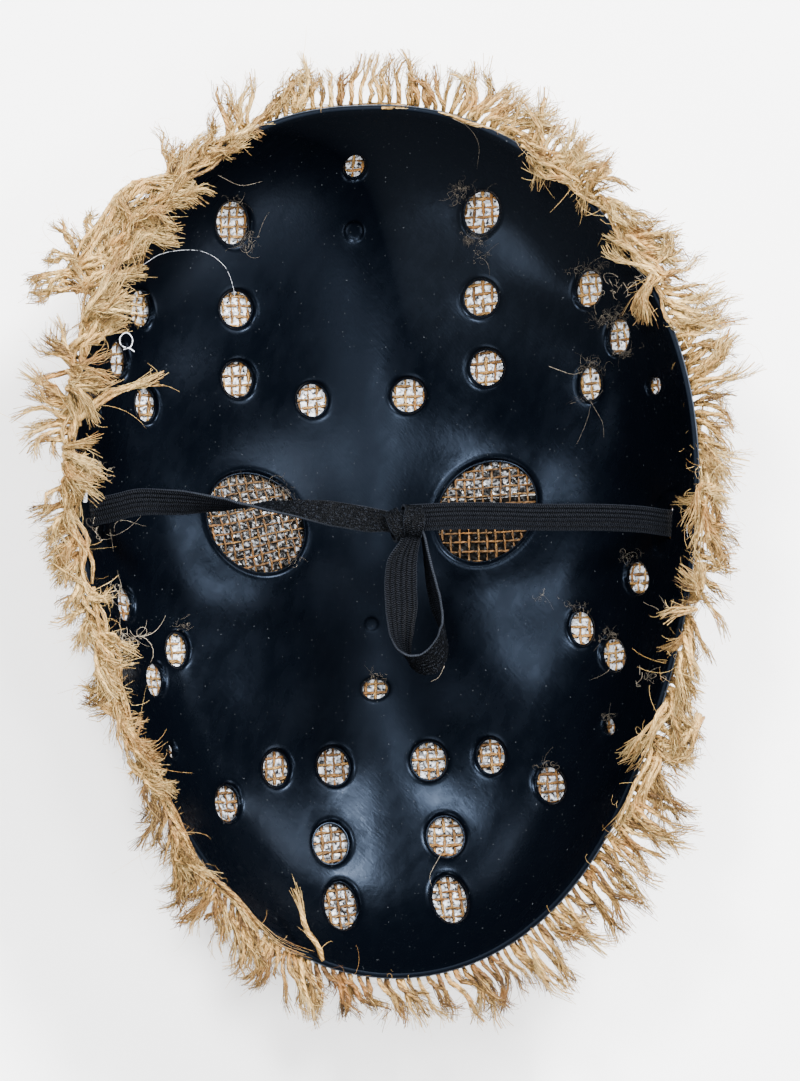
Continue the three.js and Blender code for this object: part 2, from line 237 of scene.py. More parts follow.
@dataclass
class MeshParts:
    """Corners and faces gathered for one mesh, with a mark of four numbers on each corner."""

    points: list[Array] = field(default_factory=list)
    faces: list[Array] = field(default_factory=list)
    tones: list[Array] = field(default_factory=list)
    twists: list[Array] = field(default_factory=list)
    count: int = 0

    def add(
        self,
        points: Array,
        faces: Sequence[Array],
        tone: Array | float = 0.5,
        twist: Array | None = None,
    ) -> None:
        """Adds corners and the faces between them.

        Args:
            points: Corners, one in a row, in millimetres.
            faces: Arrays of corner numbers, each array with one face in a row.
            tone: The colour's place from 0, dark, to 1, light, at each corner or for all.
            twist: Cosine and sine of the place round a yarn, and the length along it.
        """
        self.points.append(points)
        self.faces.extend(block + self.count for block in faces if len(block))
        self.tones.append(np.broadcast_to(np.asarray(tone, float), len(points)))
        self.twists.append(np.zeros((len(points), 3)) if twist is None else twist)
        self.count += len(points)

    def triangles(self) -> int:
        """The number of triangles that the faces come to."""
        return sum(len(block) * (block.shape[1] - 2) for block in self.faces)

    def build(self, name: str, material: bpy.types.Material) -> Piece:
        """Makes the object, smooth shaded, in metres.

        Args:
            name: The piece's name.
            material: Its finish.

        Returns:
            The new object, linked into the scene.
        """
        mesh = bpy.data.meshes.new(name)
        points = np.concatenate(self.points) * MM
        corners = np.concatenate([block.ravel() for block in self.faces]).astype(np.int32)
        sizes = np.concatenate([np.full(len(block), block.shape[1]) for block in self.faces])
        starts = np.concatenate([[0], np.cumsum(sizes)[:-1]]).astype(np.int32)
        mesh.vertices.add(len(points))
        mesh.vertices.foreach_set("co", points.astype(np.float32).ravel())
        mesh.loops.add(len(corners))
        mesh.loops.foreach_set("vertex_index", corners)
        mesh.polygons.add(len(sizes))
        mesh.polygons.foreach_set("loop_start", starts)
        mesh.update(calc_edges=True)
        marks = (
            ("tone", "FLOAT", "value", self.tones),
            ("twist", "FLOAT_VECTOR", "vector", self.twists),
        )
        for label, kind, key, values in marks:
            mark = mesh.attributes.new(label, kind, "POINT")
            mark.data.foreach_set(key, np.concatenate(values).astype(np.float32).ravel())
        mesh.shade_smooth()
        mesh.materials.append(material)
        made = bpy.data.objects.new(name, mesh)
        bpy.context.scene.collection.objects.link(made)
        log.info("%s: %d triangles", name, self.triangles())
        return made


def circle(sides: int) -> Array:
    """The corners of a round section, as shares of its half width and half height."""
    turn = np.arange(sides) * 2 * math.pi / sides
    return np.stack([np.cos(turn), np.sin(turn)], axis=-1)


def sweep(
    parts: MeshParts,
    centres: Array,
    across: Array,
    upward: Array,
    starts: Array,
    section: Array,
    tone: Array | float,
    along: Array,
) -> None:
    """Adds closed lengths of one section that follow lines of centres, one line after another.

    Args:
        parts: The mesh that they are added to.
        centres: Points of all the lines in a row.
        across: At each centre, the vector that the section's first number is a share of.
        upward: The same for its second number; across x upward leads along the line.
        starts: True at each centre that begins a line.
        section: The section's corners, anticlockwise, as pairs of shares.
        tone: The colour's place at each centre.
        along: The length run at each centre, for the twist of the yarn.
    """
    sides = len(section)
    rings = (
        centres[:, None]
        + across[:, None] * section[None, :, :1]
        + upward[:, None] * section[None, :, 1:]
    )
    count = len(centres)
    inside = np.flatnonzero(~starts[1:])
    corner = np.arange(sides)
    after = (corner + 1) % sides
    low, high = inside[:, None] * sides, (inside[:, None] + 1) * sides
    quads = np.stack([low + corner, low + after, high + after, high + corner], axis=-1)
    firsts = np.flatnonzero(starts)
    lasts = np.append(firsts[1:] - 1, count - 1)
    near_caps = firsts[:, None] * sides + corner[::-1]
    far_caps = lasts[:, None] * sides + corner
    twist = np.concatenate(
        [
            np.broadcast_to(section, (count, sides, 2)),
            np.broadcast_to(along[:, None, None], (count, sides, 1)),
        ],
        axis=-1,
    )
    parts.add(
        rings.reshape(-1, 3),
        [quads.reshape(-1, 4), near_caps, far_caps],
        np.repeat(np.broadcast_to(tone, count), sides),
        twist.reshape(-1, 3),
    )


def run_along(paths: Array) -> Array:
    """The length run at each point of paths, which have their points along the last axis but one."""
    steps = np.linalg.norm(np.diff(paths, axis=-2), axis=-1)
    return np.concatenate([np.zeros((*steps.shape[:-1], 1)), np.cumsum(steps, axis=-1)], axis=-1)


def resample(points: Array, share: Array) -> Array:
    """Points of a smooth line through some points.

    Args:
        points: The points that it goes through, one in a row.
        share: Shares of its length, from 0 to 1.

    Returns:
        A point for each share.
    """
    ahead = 2 * points[-1] - points[-2]
    behind = 2 * points[0] - points[1]
    knots = np.concatenate([behind[None], points, ahead[None]])
    chord = run_along(points)
    at = np.interp(share * chord[-1], chord, np.arange(len(points)))
    low = np.clip(at.astype(int), 0, len(points) - 2)
    t = (at - low)[:, None]
    p0, p1, p2, p3 = (knots[low + k] for k in range(4))
    bent = 2 * p1 + (p2 - p0) * t + (2 * p0 - 5 * p1 + 4 * p2 - p3) * t**2
    return 0.5 * (bent + (3 * p1 - p0 - 3 * p2 + p3) * t**3)


def sweep_fibres(
    parts: MeshParts, paths: Array, radii: Array, tone: Array, sides: int = 3
) -> None:
    """Adds round fibres along paths of equal numbers of points.

    Args:
        parts: The mesh that they are added to.
        paths: Points, as fibre by point by x, y, z.
        radii: Radii, as fibre by point.
        tone: The colour's place for each fibre, or at each point.
        sides: Corners of the section.
    """
    fibres, steps = paths.shape[:2]
    tangent = unit(np.gradient(paths, axis=1))
    overall = unit(paths[:, -1] - paths[:, 0])
    aside = np.where(np.abs(overall[:, 2:]) > 0.8, [[1.0, 0.0, 0.0]], [[0.0, 0.0, 1.0]])
    across = unit(np.cross(np.broadcast_to(aside[:, None], paths.shape), tangent))
    upward = np.cross(tangent, across)
    starts = np.zeros((fibres, steps), bool)
    starts[:, 0] = True
    if tone.ndim == 1:
        tone = np.repeat(tone[:, None], steps, axis=1)
    sweep(
        parts,
        paths.reshape(-1, 3),
        (across * radii[..., None]).reshape(-1, 3),
        (upward * radii[..., None]).reshape(-1, 3),
        starts.ravel(),
        circle(sides),
        tone.ravel(),
        run_along(paths).ravel(),
    )


def wander(
    start: Array, direction: Array, length: Array, steps: int, curl: Array, random: Random
) -> Array:
    """Paths of loose hairs.

    Args:
        start: Their first points.
        direction: The unit directions in which they set out.
        length: Their lengths.
        steps: Points in each.
        curl: How far each turns over its whole length, in radians.
        random: The random numbers.

    Returns:
        Points, as hair by point by x, y, z.
    """
    count = len(start)
    axis = unit(random.normal(0, 1, (count, 3)))
    paths = np.empty((count, steps, 3))
    paths[:, 0] = start
    heading = direction
    for k in range(1, steps):
        axis = unit(axis + 0.22 * random.normal(0, 1, (count, 3)))
        heading = unit(heading + np.cross(axis, heading) * (curl / (steps - 1))[:, None])
        paths[:, k] = paths[:, k - 1] + heading * (length / (steps - 1))[:, None]
    return paths


@dataclass(frozen=True)
class Noise:
    """Noise in the object's own coordinates.

    Attributes:
        cells: Cells to the metre.
        detail: Octaves.
        stretch: Factors on x, y and z before it is read.
        turn: Degrees about Z that its streaks are turned.
    """

    cells: float
    detail: float = 2.0
    stretch: Point = (1, 1, 1)
    turn: float = 0.0


@dataclass(frozen=True)
class Signal:
    """The output of a node, which the usual signs add, take away and multiply."""

    tree: "NodeTree"
    socket: bpy.types.NodeSocket

    def __add__(self, other: "Signal | float") -> "Signal":
        """The sum of the two."""
        return self.tree.math("ADD", self, other)

    def __sub__(self, other: "Signal | float") -> "Signal":
        """The difference of the two."""
        return self.tree.math("SUBTRACT", self, other)

    def __mul__(self, other: "Signal | float") -> "Signal":
        """The product of the two."""
        return self.tree.math("MULTIPLY", self, other)


@dataclass
class NodeTree:
    """A material's nodes, made one after another."""

    material: bpy.types.Material

    @classmethod
    def start(cls, name: str, **values: object) -> "NodeTree":
        """A new material, and values for its shader's sockets, named with _ for a space."""
        material = bpy.data.materials.new(name)
        material.use_nodes = True
        tree = cls(material)
        tree.shade(**values)
        return tree

    def feed(self, node: bpy.types.ShaderNode, inputs: dict[str | int, object]) -> None:
        """Links signals to a node's inputs, and sets others to plain values."""
        for name, value in inputs.items():
            if isinstance(value, Signal):
                self.material.node_tree.links.new(value.socket, node.inputs[name])
            else:
                node.inputs[name].default_value = value

    def shade(self, **values: object) -> None:
        """Feeds the Principled shader's sockets, named with _ for a space."""
        shader = self.material.node_tree.nodes["Principled BSDF"]
        self.feed(shader, {name.replace("_", " "): value for name, value in values.items()})

    def node(
        self, kind: str, output: str, inputs: dict[str | int, object], **settings: object
    ) -> Signal:
        """Adds a node.

        Args:
            kind: Its type, without the ShaderNode in front.
            output: The name of the output that is wanted.
            inputs: Signals and values for its inputs, by name or number.
            settings: Its own properties, by name.

        Returns:
            The output.
        """
        made = self.material.node_tree.nodes.new("ShaderNode" + kind)
        for name, value in settings.items():
            setattr(made, name, value)
        self.feed(made, inputs)
        return Signal(self, made.outputs[output])

    def noise(self, noise: Noise) -> Signal:
        """The noise, from 0 to 1."""
        inputs = {
            "Vector": self.node("TexCoord", "Object", {}),
            "Scale": tuple(1 / factor for factor in noise.stretch),
            "Rotation": (0, 0, math.radians(noise.turn)),
        }
        place = self.node("Mapping", "Vector", inputs, vector_type="TEXTURE")
        inputs = {"Vector": place, "Scale": noise.cells, "Detail": noise.detail}
        return self.node("TexNoise", "Fac", inputs)

    def tone(self) -> Signal:
        """The tone that a mesh has at each corner."""
        return self.node("Attribute", "Fac", {}, attribute_name="tone")

    def twist(self) -> tuple[Signal, Signal, Signal]:
        """Cosine and sine of the place round a yarn, and the length along it."""
        mark = self.node("Attribute", "Vector", {}, attribute_name="twist")
        first = self.node("SeparateXYZ", "X", {"Vector": mark})
        return tuple(Signal(self, output) for output in first.socket.node.outputs)

    def ramp(self, source: Signal, stops: Sequence[tuple[float, Colour]]) -> Signal:
        """Colours read from a signal, by places and their colours in order."""
        ramp = self.node("ValToRGB", "Color", {"Fac": source})
        elements = ramp.socket.node.color_ramp.elements
        while len(elements) < len(stops):
            elements.new(0.5)
        for element, (place, colour) in zip(elements, stops):
            element.position = place
            element.color = (*colour, 1.0)
        return ramp

    def mix(self, share: Signal, first: Signal | Colour, second: Signal | Colour) -> Signal:
        """The first colour where the share is 0, and the second where it is 1."""
        colours = [one if isinstance(one, Signal) else (*one, 1) for one in (first, second)]
        inputs = {"Factor": share, "A": colours[0], "B": colours[1]}
        return self.node("Mix", "Result", inputs, data_type="RGBA")

    def math(self, operation: str, *values: Signal | float, clamp: bool = False) -> Signal:
        """A sum by Blender's name for it, which clamp keeps from 0 to 1."""
        inputs = dict(enumerate(values))
        return self.node("Math", "Value", inputs, operation=operation, use_clamp=clamp)

    def bump(self, height: Signal, distance: float, strength: float = 1.0) -> None:
        """Raises the surface's shading by a height from 0 to 1 times a distance in metres."""
        inputs = {"Height": height, "Distance": distance, "Strength": strength}
        self.shade(Normal=self.node("Bump", "Normal", inputs))


@dataclass(frozen=True)
class BlackPlastic:
    """Moulded black plastic: satin, with fine flow lines, faint scuffs and specks of dust.

    The tone of the mesh says how polished it is: 0 is dull and 1 is smooth; over 1 it mixes in a
    lighter colour, a painted highlight along the rim's outer edge and a faint painted sheen on the
    forehead.
    """

    colour: Colour = (0.0004, 0.0007, 0.0014)
    dust: Colour = (0.045, 0.05, 0.055)
    # The lighter colour mixed in where the tone passes 1: a painted highlight on the rim's outer edge
    # and a painted sheen on the forehead.
    edge: Colour = (0.046, 0.055, 0.07)
    tint: Colour = (0.50, 0.67, 1.0)
    shine: float = 0.068
    roughness: float = 0.27
    # Added to the roughness where the plastic is dull.
    dulled: float = 0.33
    specks: Noise = Noise(1500, 1.0)
    # The noise at which a speck begins, and at which it is full.
    speck_range: Pair = (0.77, 0.80)
    scuffs: Noise = Noise(260, 4.0, (0.5, 1.0, 1.0), 60)
    scuff_depth: float = 0.22
    grains: tuple[Noise, Noise] = (Noise(420, 5.0), Noise(90, 3.0))
    scratches: Noise = Noise(1800, 2.0, (0.05, 1.0, 1.0), -52)
    scratch_height: float = 0.5
    relief: float = 0.00011
    relief_share: float = 0.4

    def material(self) -> bpy.types.Material:
        """The material, made new."""
        tree = NodeTree.start("black_plastic", Roughness=self.roughness)
        tree.shade(Specular_IOR_Level=self.shine, Specular_Tint=(*self.tint, 1.0))
        black, white = (0, 0, 0), (1, 1, 1)
        begins, full = self.speck_range
        specks = tree.ramp(tree.noise(self.specks), [(0.0, black), (begins, black), (full, white)])
        dusty = tree.mix(specks, self.colour, self.dust)
        polish = tree.tone()
        # The share of the painted highlight and painted sheen, from the tone over 1.
        painted_light_share = tree.math("SUBTRACT", polish, 1.0, clamp=True)
        dull = tree.math("SUBTRACT", 1.0, polish, clamp=True) * self.dulled
        least = self.roughness - self.scuff_depth / 2
        rough = tree.math("MULTIPLY_ADD", tree.noise(self.scuffs), self.scuff_depth, least)
        tree.shade(Base_Color=tree.mix(painted_light_share, dusty, self.edge), Roughness=rough + dull)
        fine, broad = (tree.noise(grain) for grain in self.grains)
        scratches = tree.noise(self.scratches) * self.scratch_height
        tree.bump(fine + broad + scratches, self.relief, self.relief_share)
        return tree.material


@dataclass(frozen=True)
class Jute:
    """Natural jute: straw brown fibres, twisted in yarns, lighter and darker from one to the next."""

    name: str
    dark: Colour = (0.075, 0.036, 0.010)
    middle: Colour = (0.41, 0.234, 0.066)
    light: Colour = (0.76, 0.53, 0.218)
    rust: Colour = (0.33, 0.135, 0.030)
    middle_tone: float = 0.45
    roughness: float = 0.6
    shine: float = 0.25
    plies: float = 3.0
    ply_length: float = 2.2
    ply_shade: float = 0.11
    blotches: Noise = Noise(350)
    blotch_shade: float = 0.8
    specks: Noise = Noise(2600)
    speck_shade: float = 0.9
    rusting: Noise = Noise(110)
    rust_contrast: float = 4.0
    rust_share: float = 0.55
    grain: Noise = Noise(3200)
    grain_height: float = 1.2
    relief: float = 0.00025
    relief_share: float = 0.8

    def material(self) -> bpy.types.Material:
        """The material, made new."""
        tree = NodeTree.start(self.name, Roughness=self.roughness, Specular_IOR_Level=self.shine)
        cosine, sine, run = tree.twist()
        along = run * (2 * math.pi / self.ply_length)
        stripes = tree.math("SINE", tree.math("ARCTAN2", sine, cosine) * self.plies + along)
        blotch = (tree.noise(self.blotches) - 0.5) * self.blotch_shade
        speck = (tree.noise(self.specks) - 0.5) * self.speck_shade
        shade = blotch + speck + stripes * self.ply_shade
        stops = [(0.0, self.dark), (self.middle_tone, self.middle), (1.0, self.light)]
        colour = tree.ramp(tree.tone() + shade, stops)
        rusty = tree.math("MULTIPLY", tree.noise(self.rusting) - 0.5, self.rust_contrast, clamp=True)
        tree.shade(Base_Color=tree.mix(rusty * self.rust_share, colour, self.rust))
        height = stripes + tree.noise(self.grain) * self.grain_height
        tree.bump(height, self.relief, self.relief_share)
        return tree.material


@dataclass(frozen=True)
class Elastic:
    """Braided black elastic: ribs of slanting stitches on one face, fuzz on the other, and lint.

    Each pair is a least value, and what a face or a stitch adds to it.
    """

    colour: Colour = (0.0006, 0.0008, 0.0012)
    thread: Colour = (0.0064, 0.0074, 0.0100)
    fuzz: Colour = (0.016, 0.019, 0.026)
    piping: Colour = (0.018, 0.021, 0.028)
    roughness: float = 0.42
    shine: float = 0.035
    ribs: int = 6
    # A stitch's length, and how far it slants over a rib as a share of that.
    stitch: float = 0.66
    slant: float = 0.9
    stitch_shade: Pair = (0.42, 0.5)
    stitch_height: Pair = (0.45, 0.55)
    # The groove between ribs, painted dark as shade, as a share of half a rib, and how steeply it
    # ends.
    groove_shade: float = 0.12
    groove_shade_edge: float = 2.2
    grain: Noise = Noise(2100)
    grain_height: Pair = (0.6, 2.2)
    lint_from: float = 0.56
    lint_contrast: float = 9.0
    lint_share: Pair = (0.18, 0.34)
    # Where the piping begins, as a share of the half width, and how steeply.
    piped: float = 0.93
    piping_edge: float = 12.0
    relief: float = 0.00016

    def material(self) -> bpy.types.Material:
        """The material, made new."""
        tree = NodeTree.start("elastic", Roughness=self.roughness, Specular_IOR_Level=self.shine)
        side, face, run = tree.twist()

        def raised(pair: Pair, by: Signal) -> Signal:
            """A pair's first number with its second added times a signal."""
            return tree.math("MULTIPLY_ADD", by, pair[1], pair[0])

        across = raised((self.ribs, self.ribs / 2), side)
        slant = tree.math("PINGPONG", across, 1.0)
        within = tree.math("PINGPONG", across * 2.0, 1.0)
        # Painted shade in the grooves between the ribs.
        row = tree.math("MULTIPLY", within - self.groove_shade, self.groove_shade_edge, clamp=True)
        cycle = run * (1 / self.stitch) + slant * self.slant
        stitches = tree.math("SINE", cycle * (2 * math.pi))
        front = tree.math("GREATER_THAN", face, 0.0)
        back = tree.math("SUBTRACT", 1.0, front)
        grain = tree.noise(self.grain)
        lint = tree.math("MULTIPLY", grain - self.lint_from, self.lint_contrast, clamp=True)
        shown = tree.math("MULTIPLY", raised(self.stitch_shade, stitches) * row, front, clamp=True)
        knit = tree.mix(shown, self.colour, self.thread)
        linty = tree.mix(lint * raised(self.lint_share, back), knit, self.fuzz)
        past = tree.math("ABSOLUTE", side) - self.piped
        edge = tree.math("MULTIPLY", past, self.piping_edge, clamp=True)
        tree.shade(Base_Color=tree.mix(edge, linty, self.piping))
        woven = stitches * raised(self.stitch_height, front)
        tree.bump(woven + grain * raised(self.grain_height, back), self.relief)
        return tree.material


@dataclass(frozen=True)
class DriedGlue:
    """Dried glue: a crumpled whitish skin with dark spots of painted shade and pale spots that are
    painted glints, and the black of a painted shadow where its tone is 0.
    """

    name: str = "dried_glue"
    shine: float = 0.3
    roughness: float = 0.22
    spots: Noise = Noise(950)
    # The noise below which a spot is dark with painted shade, and over which it is pale, which on the
    # film is a painted glint.
    spot_range: Pair = (0.36, 0.50)
    painted_shade: Colour = (0.012, 0.013, 0.015)
    pale: Colour = (0.66, 0.69, 0.74)
    # The black of a painted shadow, shown where the tone is 0.
    clear: Colour = (0.0022, 0.0020, 0.0018)

    def material(self) -> bpy.types.Material:
        """The material, made new."""
        tree = NodeTree.start(self.name, Roughness=self.roughness, Specular_IOR_Level=self.shine)
        stops = list(zip(self.spot_range, (self.painted_shade, self.pale)))
        spots = tree.ramp(tree.noise(self.spots), stops)
        # Tone 0 gives the painted shadow's black; higher tones give the painted shade and painted
        # glints.
        tree.shade(Base_Color=tree.mix(tree.tone(), self.clear, spots))
        return tree.material


@dataclass(frozen=True)
class Vent:
    """A round hole square to the wall: its centre, and its width and height from straight above."""

    x: float
    y: float
    wide: float
    high: float
    lean: float = 0.0

    def mirrored(self) -> "Vent":
        """The same hole on the other side of the face."""
        return Vent(-self.x, self.y, self.wide, self.high, -self.lean)

    @property
    def is_eye(self) -> bool:
        """Whether it is an eye hole, which is far wider than a vent."""
        return self.wide > 20

    def placed(self, x: Array, y: Array) -> tuple[Array, Array]:
        """Places given from the hole's middle along its own width and height."""
        return spun(x, y, math.radians(self.lean), (self.x, self.y))


@dataclass(frozen=True)
class Openings:
    """The holes and blind dimples of the shell."""

    paired: tuple[Vent, ...] = (
        Vent(39, 100.6, 10.7, 12.9), Vent(38.6, 74.8, 10.7, 11.6), Vent(39.2, 52.8, 10.4, 11.8),
        Vent(15, 45.7, 10.5, 10.9), Vent(69.7, 74.4, 7, 11.2), Vent(77.7, 58.9, 5.5, 11.3),
        Vent(69.8, 45.2, 6.5, 11), Vent(86.6, 42.5, 3.1, 5.3), Vent(79.5, -16.4, 5.3, 10.4),
        Vent(63.6, -31.1, 6.8, 10.9), Vent(71.3, -39.9, 5.9, 10.5), Vent(67.9, -62.2, 2.7, 5.3),
        Vent(14.9, -70.5, 11, 12.1), Vent(33.8, -70.1, 8.8, 11.2), Vent(50.3, -79.5, 8.1, 11.5),
        Vent(18, -94.2, 11.5, 12.9), Vent(16.9, -113.1, 10.7, 14.3),
    )
    middle: tuple[Vent, ...] = (Vent(0, 116.6, 6.6, 6.6), Vent(0, -46.9, 8.1, 6.8))
    eye: Vent = Vent(36.2, 7.2, 35, 29.4, 47)
    dimples: tuple[Vent, ...] = (Vent(0, 98, 6.2, 6.2), Vent(0, -26.3, 4.3, 4.3))

    def holes(self) -> list[Vent]:
        """Every hole that goes right through, the eyes last."""
        sides = [vent for pair in self.paired for vent in (pair, pair.mirrored())]
        return [*sides, *self.middle, self.eye, self.eye.mirrored()]


@dataclass(frozen=True)
class Slot:
    """A slot for the strap in a side wall: which side, its place along Y, and its recess."""

    side: int
    y: float
    place: float = 0.95
    long: float = 10.4
    tall: float = 3.0
    corner: float = 1.2
    recess: float = 11.0
    recess_depth: float = 0.8
    recess_edge: float = 0.7

    def centre(self, form: FaceForm) -> Pair:
        """The angle round the face and the share out to the rim of the slot's middle."""
        rise = ((self.y - form.bowl_y) / self.place + form.bowl_y - form.middle_y) / form.crown_rise
        angle = math.asin(rise)
        return (angle if self.side > 0 else math.pi - angle), self.place

    def pitch(self, form: FaceForm) -> Pair:
        """Millimetres for each radian round the face, and for each unit out, at the slot."""
        angle, out = self.centre(form)
        small = 0.01
        ahead = form.inner(np.array([angle + small]), np.array([out]))
        behind = form.inner(np.array([angle - small]), np.array([out]))
        higher = form.inner(np.array([angle]), np.array([out + small]))
        lower = form.inner(np.array([angle]), np.array([out - small]))
        round_face = float(np.linalg.norm(ahead - behind)) / (2 * small)
        return round_face, float(np.linalg.norm(higher - lower)) / (2 * small)


SLOTS = (Slot(-1, 12.0), Slot(1, 0.0))


@dataclass
class Shell:
    """The moulded bowl of the mask, pierced with vents, eyes and slots."""

    form: FaceForm
    openings: Openings
    thick: float = 2.0
    mesh_pitch: float = 3.4
    rim_points: int = 260
    # Less polished places: x, y, half width, half height and share.
    dull_spots: tuple[tuple[float, float, float, float, float], ...] = (
        (0, -34, 11, 22, 0.95), (0, 24, 10, 15, 0.7), (-6, 66, 8, 20, 0.6), (-53, 86, 13, 12, 0.5),
        (-25, 103, 12, 11, 0.4),
    )
    # A faint painted sheen that lightens the forehead: its strength, where it begins and how soon it
    # is full.
    forehead_painted_sheen: float = 0.045
    sheen_from: float = 35.0
    sheen_over: float = 65.0
    # The millimetres between a hole's corners, and their least and greatest number.
    hole_pitch: float = 0.95
    hole_corners: tuple[int, int] = (20, 76)
    dimple_corners: int = 22
    recess_corners: int = 64
    # Holes smaller than this have a smaller lip.
    full_lip: float = 9.0
    # Rows round a slot, by their distances from its edge.
    slot_rows: tuple[float, ...] = (0.8, 0.3, 0.0)
    # The room left round each opening, as shares of the mesh's pitch.
    hole_room: float = 0.55
    dimple_room: float = 0.4
    slot_room: float = 0.3
    # The even mesh's last share out, and the rows from there to the rim.
    grid_end: float = 0.965
    rim_rows: tuple[float, ...] = (0.975, 0.99, 1.0)
    # The bowl's depth as a share of its reach, by which its wall is unrolled.
    depth_share: float = 0.48
    unrolled_points: int = 2001
    sharp_degrees: float = 50.0
    # How far from a hole's edge, and how deep the moulded lip has sunk there.
    lip: tuple[Pair, ...] = (
        (2.3, 0.0), (1.35, 0.1), (0.8, 0.32), (0.42, 0.66), (0.2, 1.0), (0.1, 1.2), (-0.05, 1.2),
        (-0.22, 1.16), (-0.33, 1.24), (-0.35, 1.4),
    )
    dimple: tuple[Pair, ...] = (
        (0.9, 0.0), (0.3, 0.1), (0.0, 0.34), (-0.3, 0.68), (-0.9, 0.92), (-1.9, 1.0),
    )
    # Rows of the rounded rim: how far through the wall, how high, and how polished; a polish of 2 on
    # the outer rows is a painted highlight along the edge.
    rim_round: tuple[Point, ...] = (
        (0.12, 0.2, 0.2), (0.4, 0.42, 0.2), (1.0, 0.5, 0.2), (1.6, 0.42, 2.0), (1.88, 0.2, 2.0),
    )

    @cached_property
    def unrolled(self) -> tuple[Array, Array]:
        """Shares out to the rim, and the same measured along the bowl's curve."""
        out = np.linspace(0, 1, self.unrolled_points)
        rise = self.depth_share * np.gradient(self.form.climb(out), out)
        step = np.sqrt(1 + rise**2)
        run = np.concatenate([[0], np.cumsum((step[1:] + step[:-1]) / 2 * np.diff(out))])
        return out, run

    def flatten(self, angle: Array, out: Array) -> Array:
        """Places in the unrolled plan, where the steep wall has its true length."""
        edge = self.form.rim(angle)
        outs, run = self.unrolled
        share = np.interp(out, outs, run)
        x, y = edge[..., 0] * share, (edge[..., 1] - self.form.bowl_y) * share
        return np.stack([x, y], axis=-1)

    def raise_up(self, flat: Array) -> tuple[Array, Array]:
        """The angle and share out of places in the unrolled plan."""
        angle = np.interp(np.arctan2(flat[:, 1], flat[:, 0]), *self.form.bearings)
        edge = self.form.rim(angle)
        reach = np.hypot(edge[:, 0], edge[:, 1] - self.form.bowl_y)
        outs, run = self.unrolled
        return angle, np.interp(np.hypot(flat[:, 0], flat[:, 1]) / reach, run, outs)

    def hole_row(self, vent: Vent, distance: float, count: int) -> tuple[Array, Array]:
        """Places round a hole at a distance from its edge.

        Args:
            vent: The hole.
            distance: From its edge, in the wall; negative inside it.
            count: How many places.

        Returns:
            Their angles round the face and shares out to the rim.
        """
        angle, out = self.form.locate(np.array([vent.x]), np.array([vent.y]))
        normal = self.form.outward(angle, out)[0]
        shrink_x = abs(normal[2]) / math.hypot(normal[0], normal[2])
        shrink_y = abs(normal[2]) / math.hypot(normal[1], normal[2])
        half = [vent.wide / 2 + distance * shrink_x, vent.high / 2 + distance * shrink_y]
        return self.form.locate(*vent.placed(*(circle(count) * half).T))

    def slot_row(self, slot: Slot, distance: float) -> tuple[Array, Array]:
        """Places round a slot's rounded outline, at a distance from its edge."""
        per_angle, per_out = slot.pitch(self.form)
        angle, out = slot.centre(self.form)
        turn = np.add.outer(np.arange(4), np.linspace(0, 1, 5)) * math.pi / 2
        sides = np.array([(1, 1), (-1, 1), (-1, -1), (1, -1)])
        corners = sides * [slot.long / 2 - slot.corner, slot.tall / 2 - slot.corner]
        radius = slot.corner + distance
        run = (corners[:, :1] + radius * np.cos(turn)).ravel()
        rise = (corners[:, 1:] + radius * np.sin(turn)).ravel()
        return angle + run / per_angle, out + rise / per_out

    def recess_depth(self, angle: Array, out: Array) -> Array:
        """How deep the round recesses about the slots are at places of the shell."""
        depth = np.zeros_like(out)
        for slot in SLOTS:
            per_angle, per_out = slot.pitch(self.form)
            centre_angle, centre_out = slot.centre(self.form)
            turn = (angle - centre_angle + math.pi) % (2 * math.pi) - math.pi
            away = np.hypot(turn * per_angle, (out - centre_out) * per_out)
            depth = depth + slot.recess_depth * smooth_step((slot.recess - away) / slot.recess_edge)
        return depth

    def gather(self) -> tuple[Array, Array, Array, Array, list[tuple[int, int]]]:
        """Every corner of the wearer's side.

        Returns:
            Angles, shares out, depths of lips, loop numbers, and first and last corner of each loop.
        """
        blocks: list[tuple[Array, Array, float]] = []
        edge_blocks: list[int] = []
        keep_clear: list[tuple[Array, float]] = []

        def add_opening(
            rows: list[tuple[tuple[Array, Array], float]], room: float, is_hole: bool = True
        ) -> None:
            """Adds the rows of one opening, the innermost last, and the room left round it."""
            blocks.extend((*places, depth) for places, depth in rows)
            if is_hole:
                edge_blocks.append(len(blocks) - 1)
            keep_clear.append((self.flatten(*rows[0][0]), self.mesh_pitch * room))

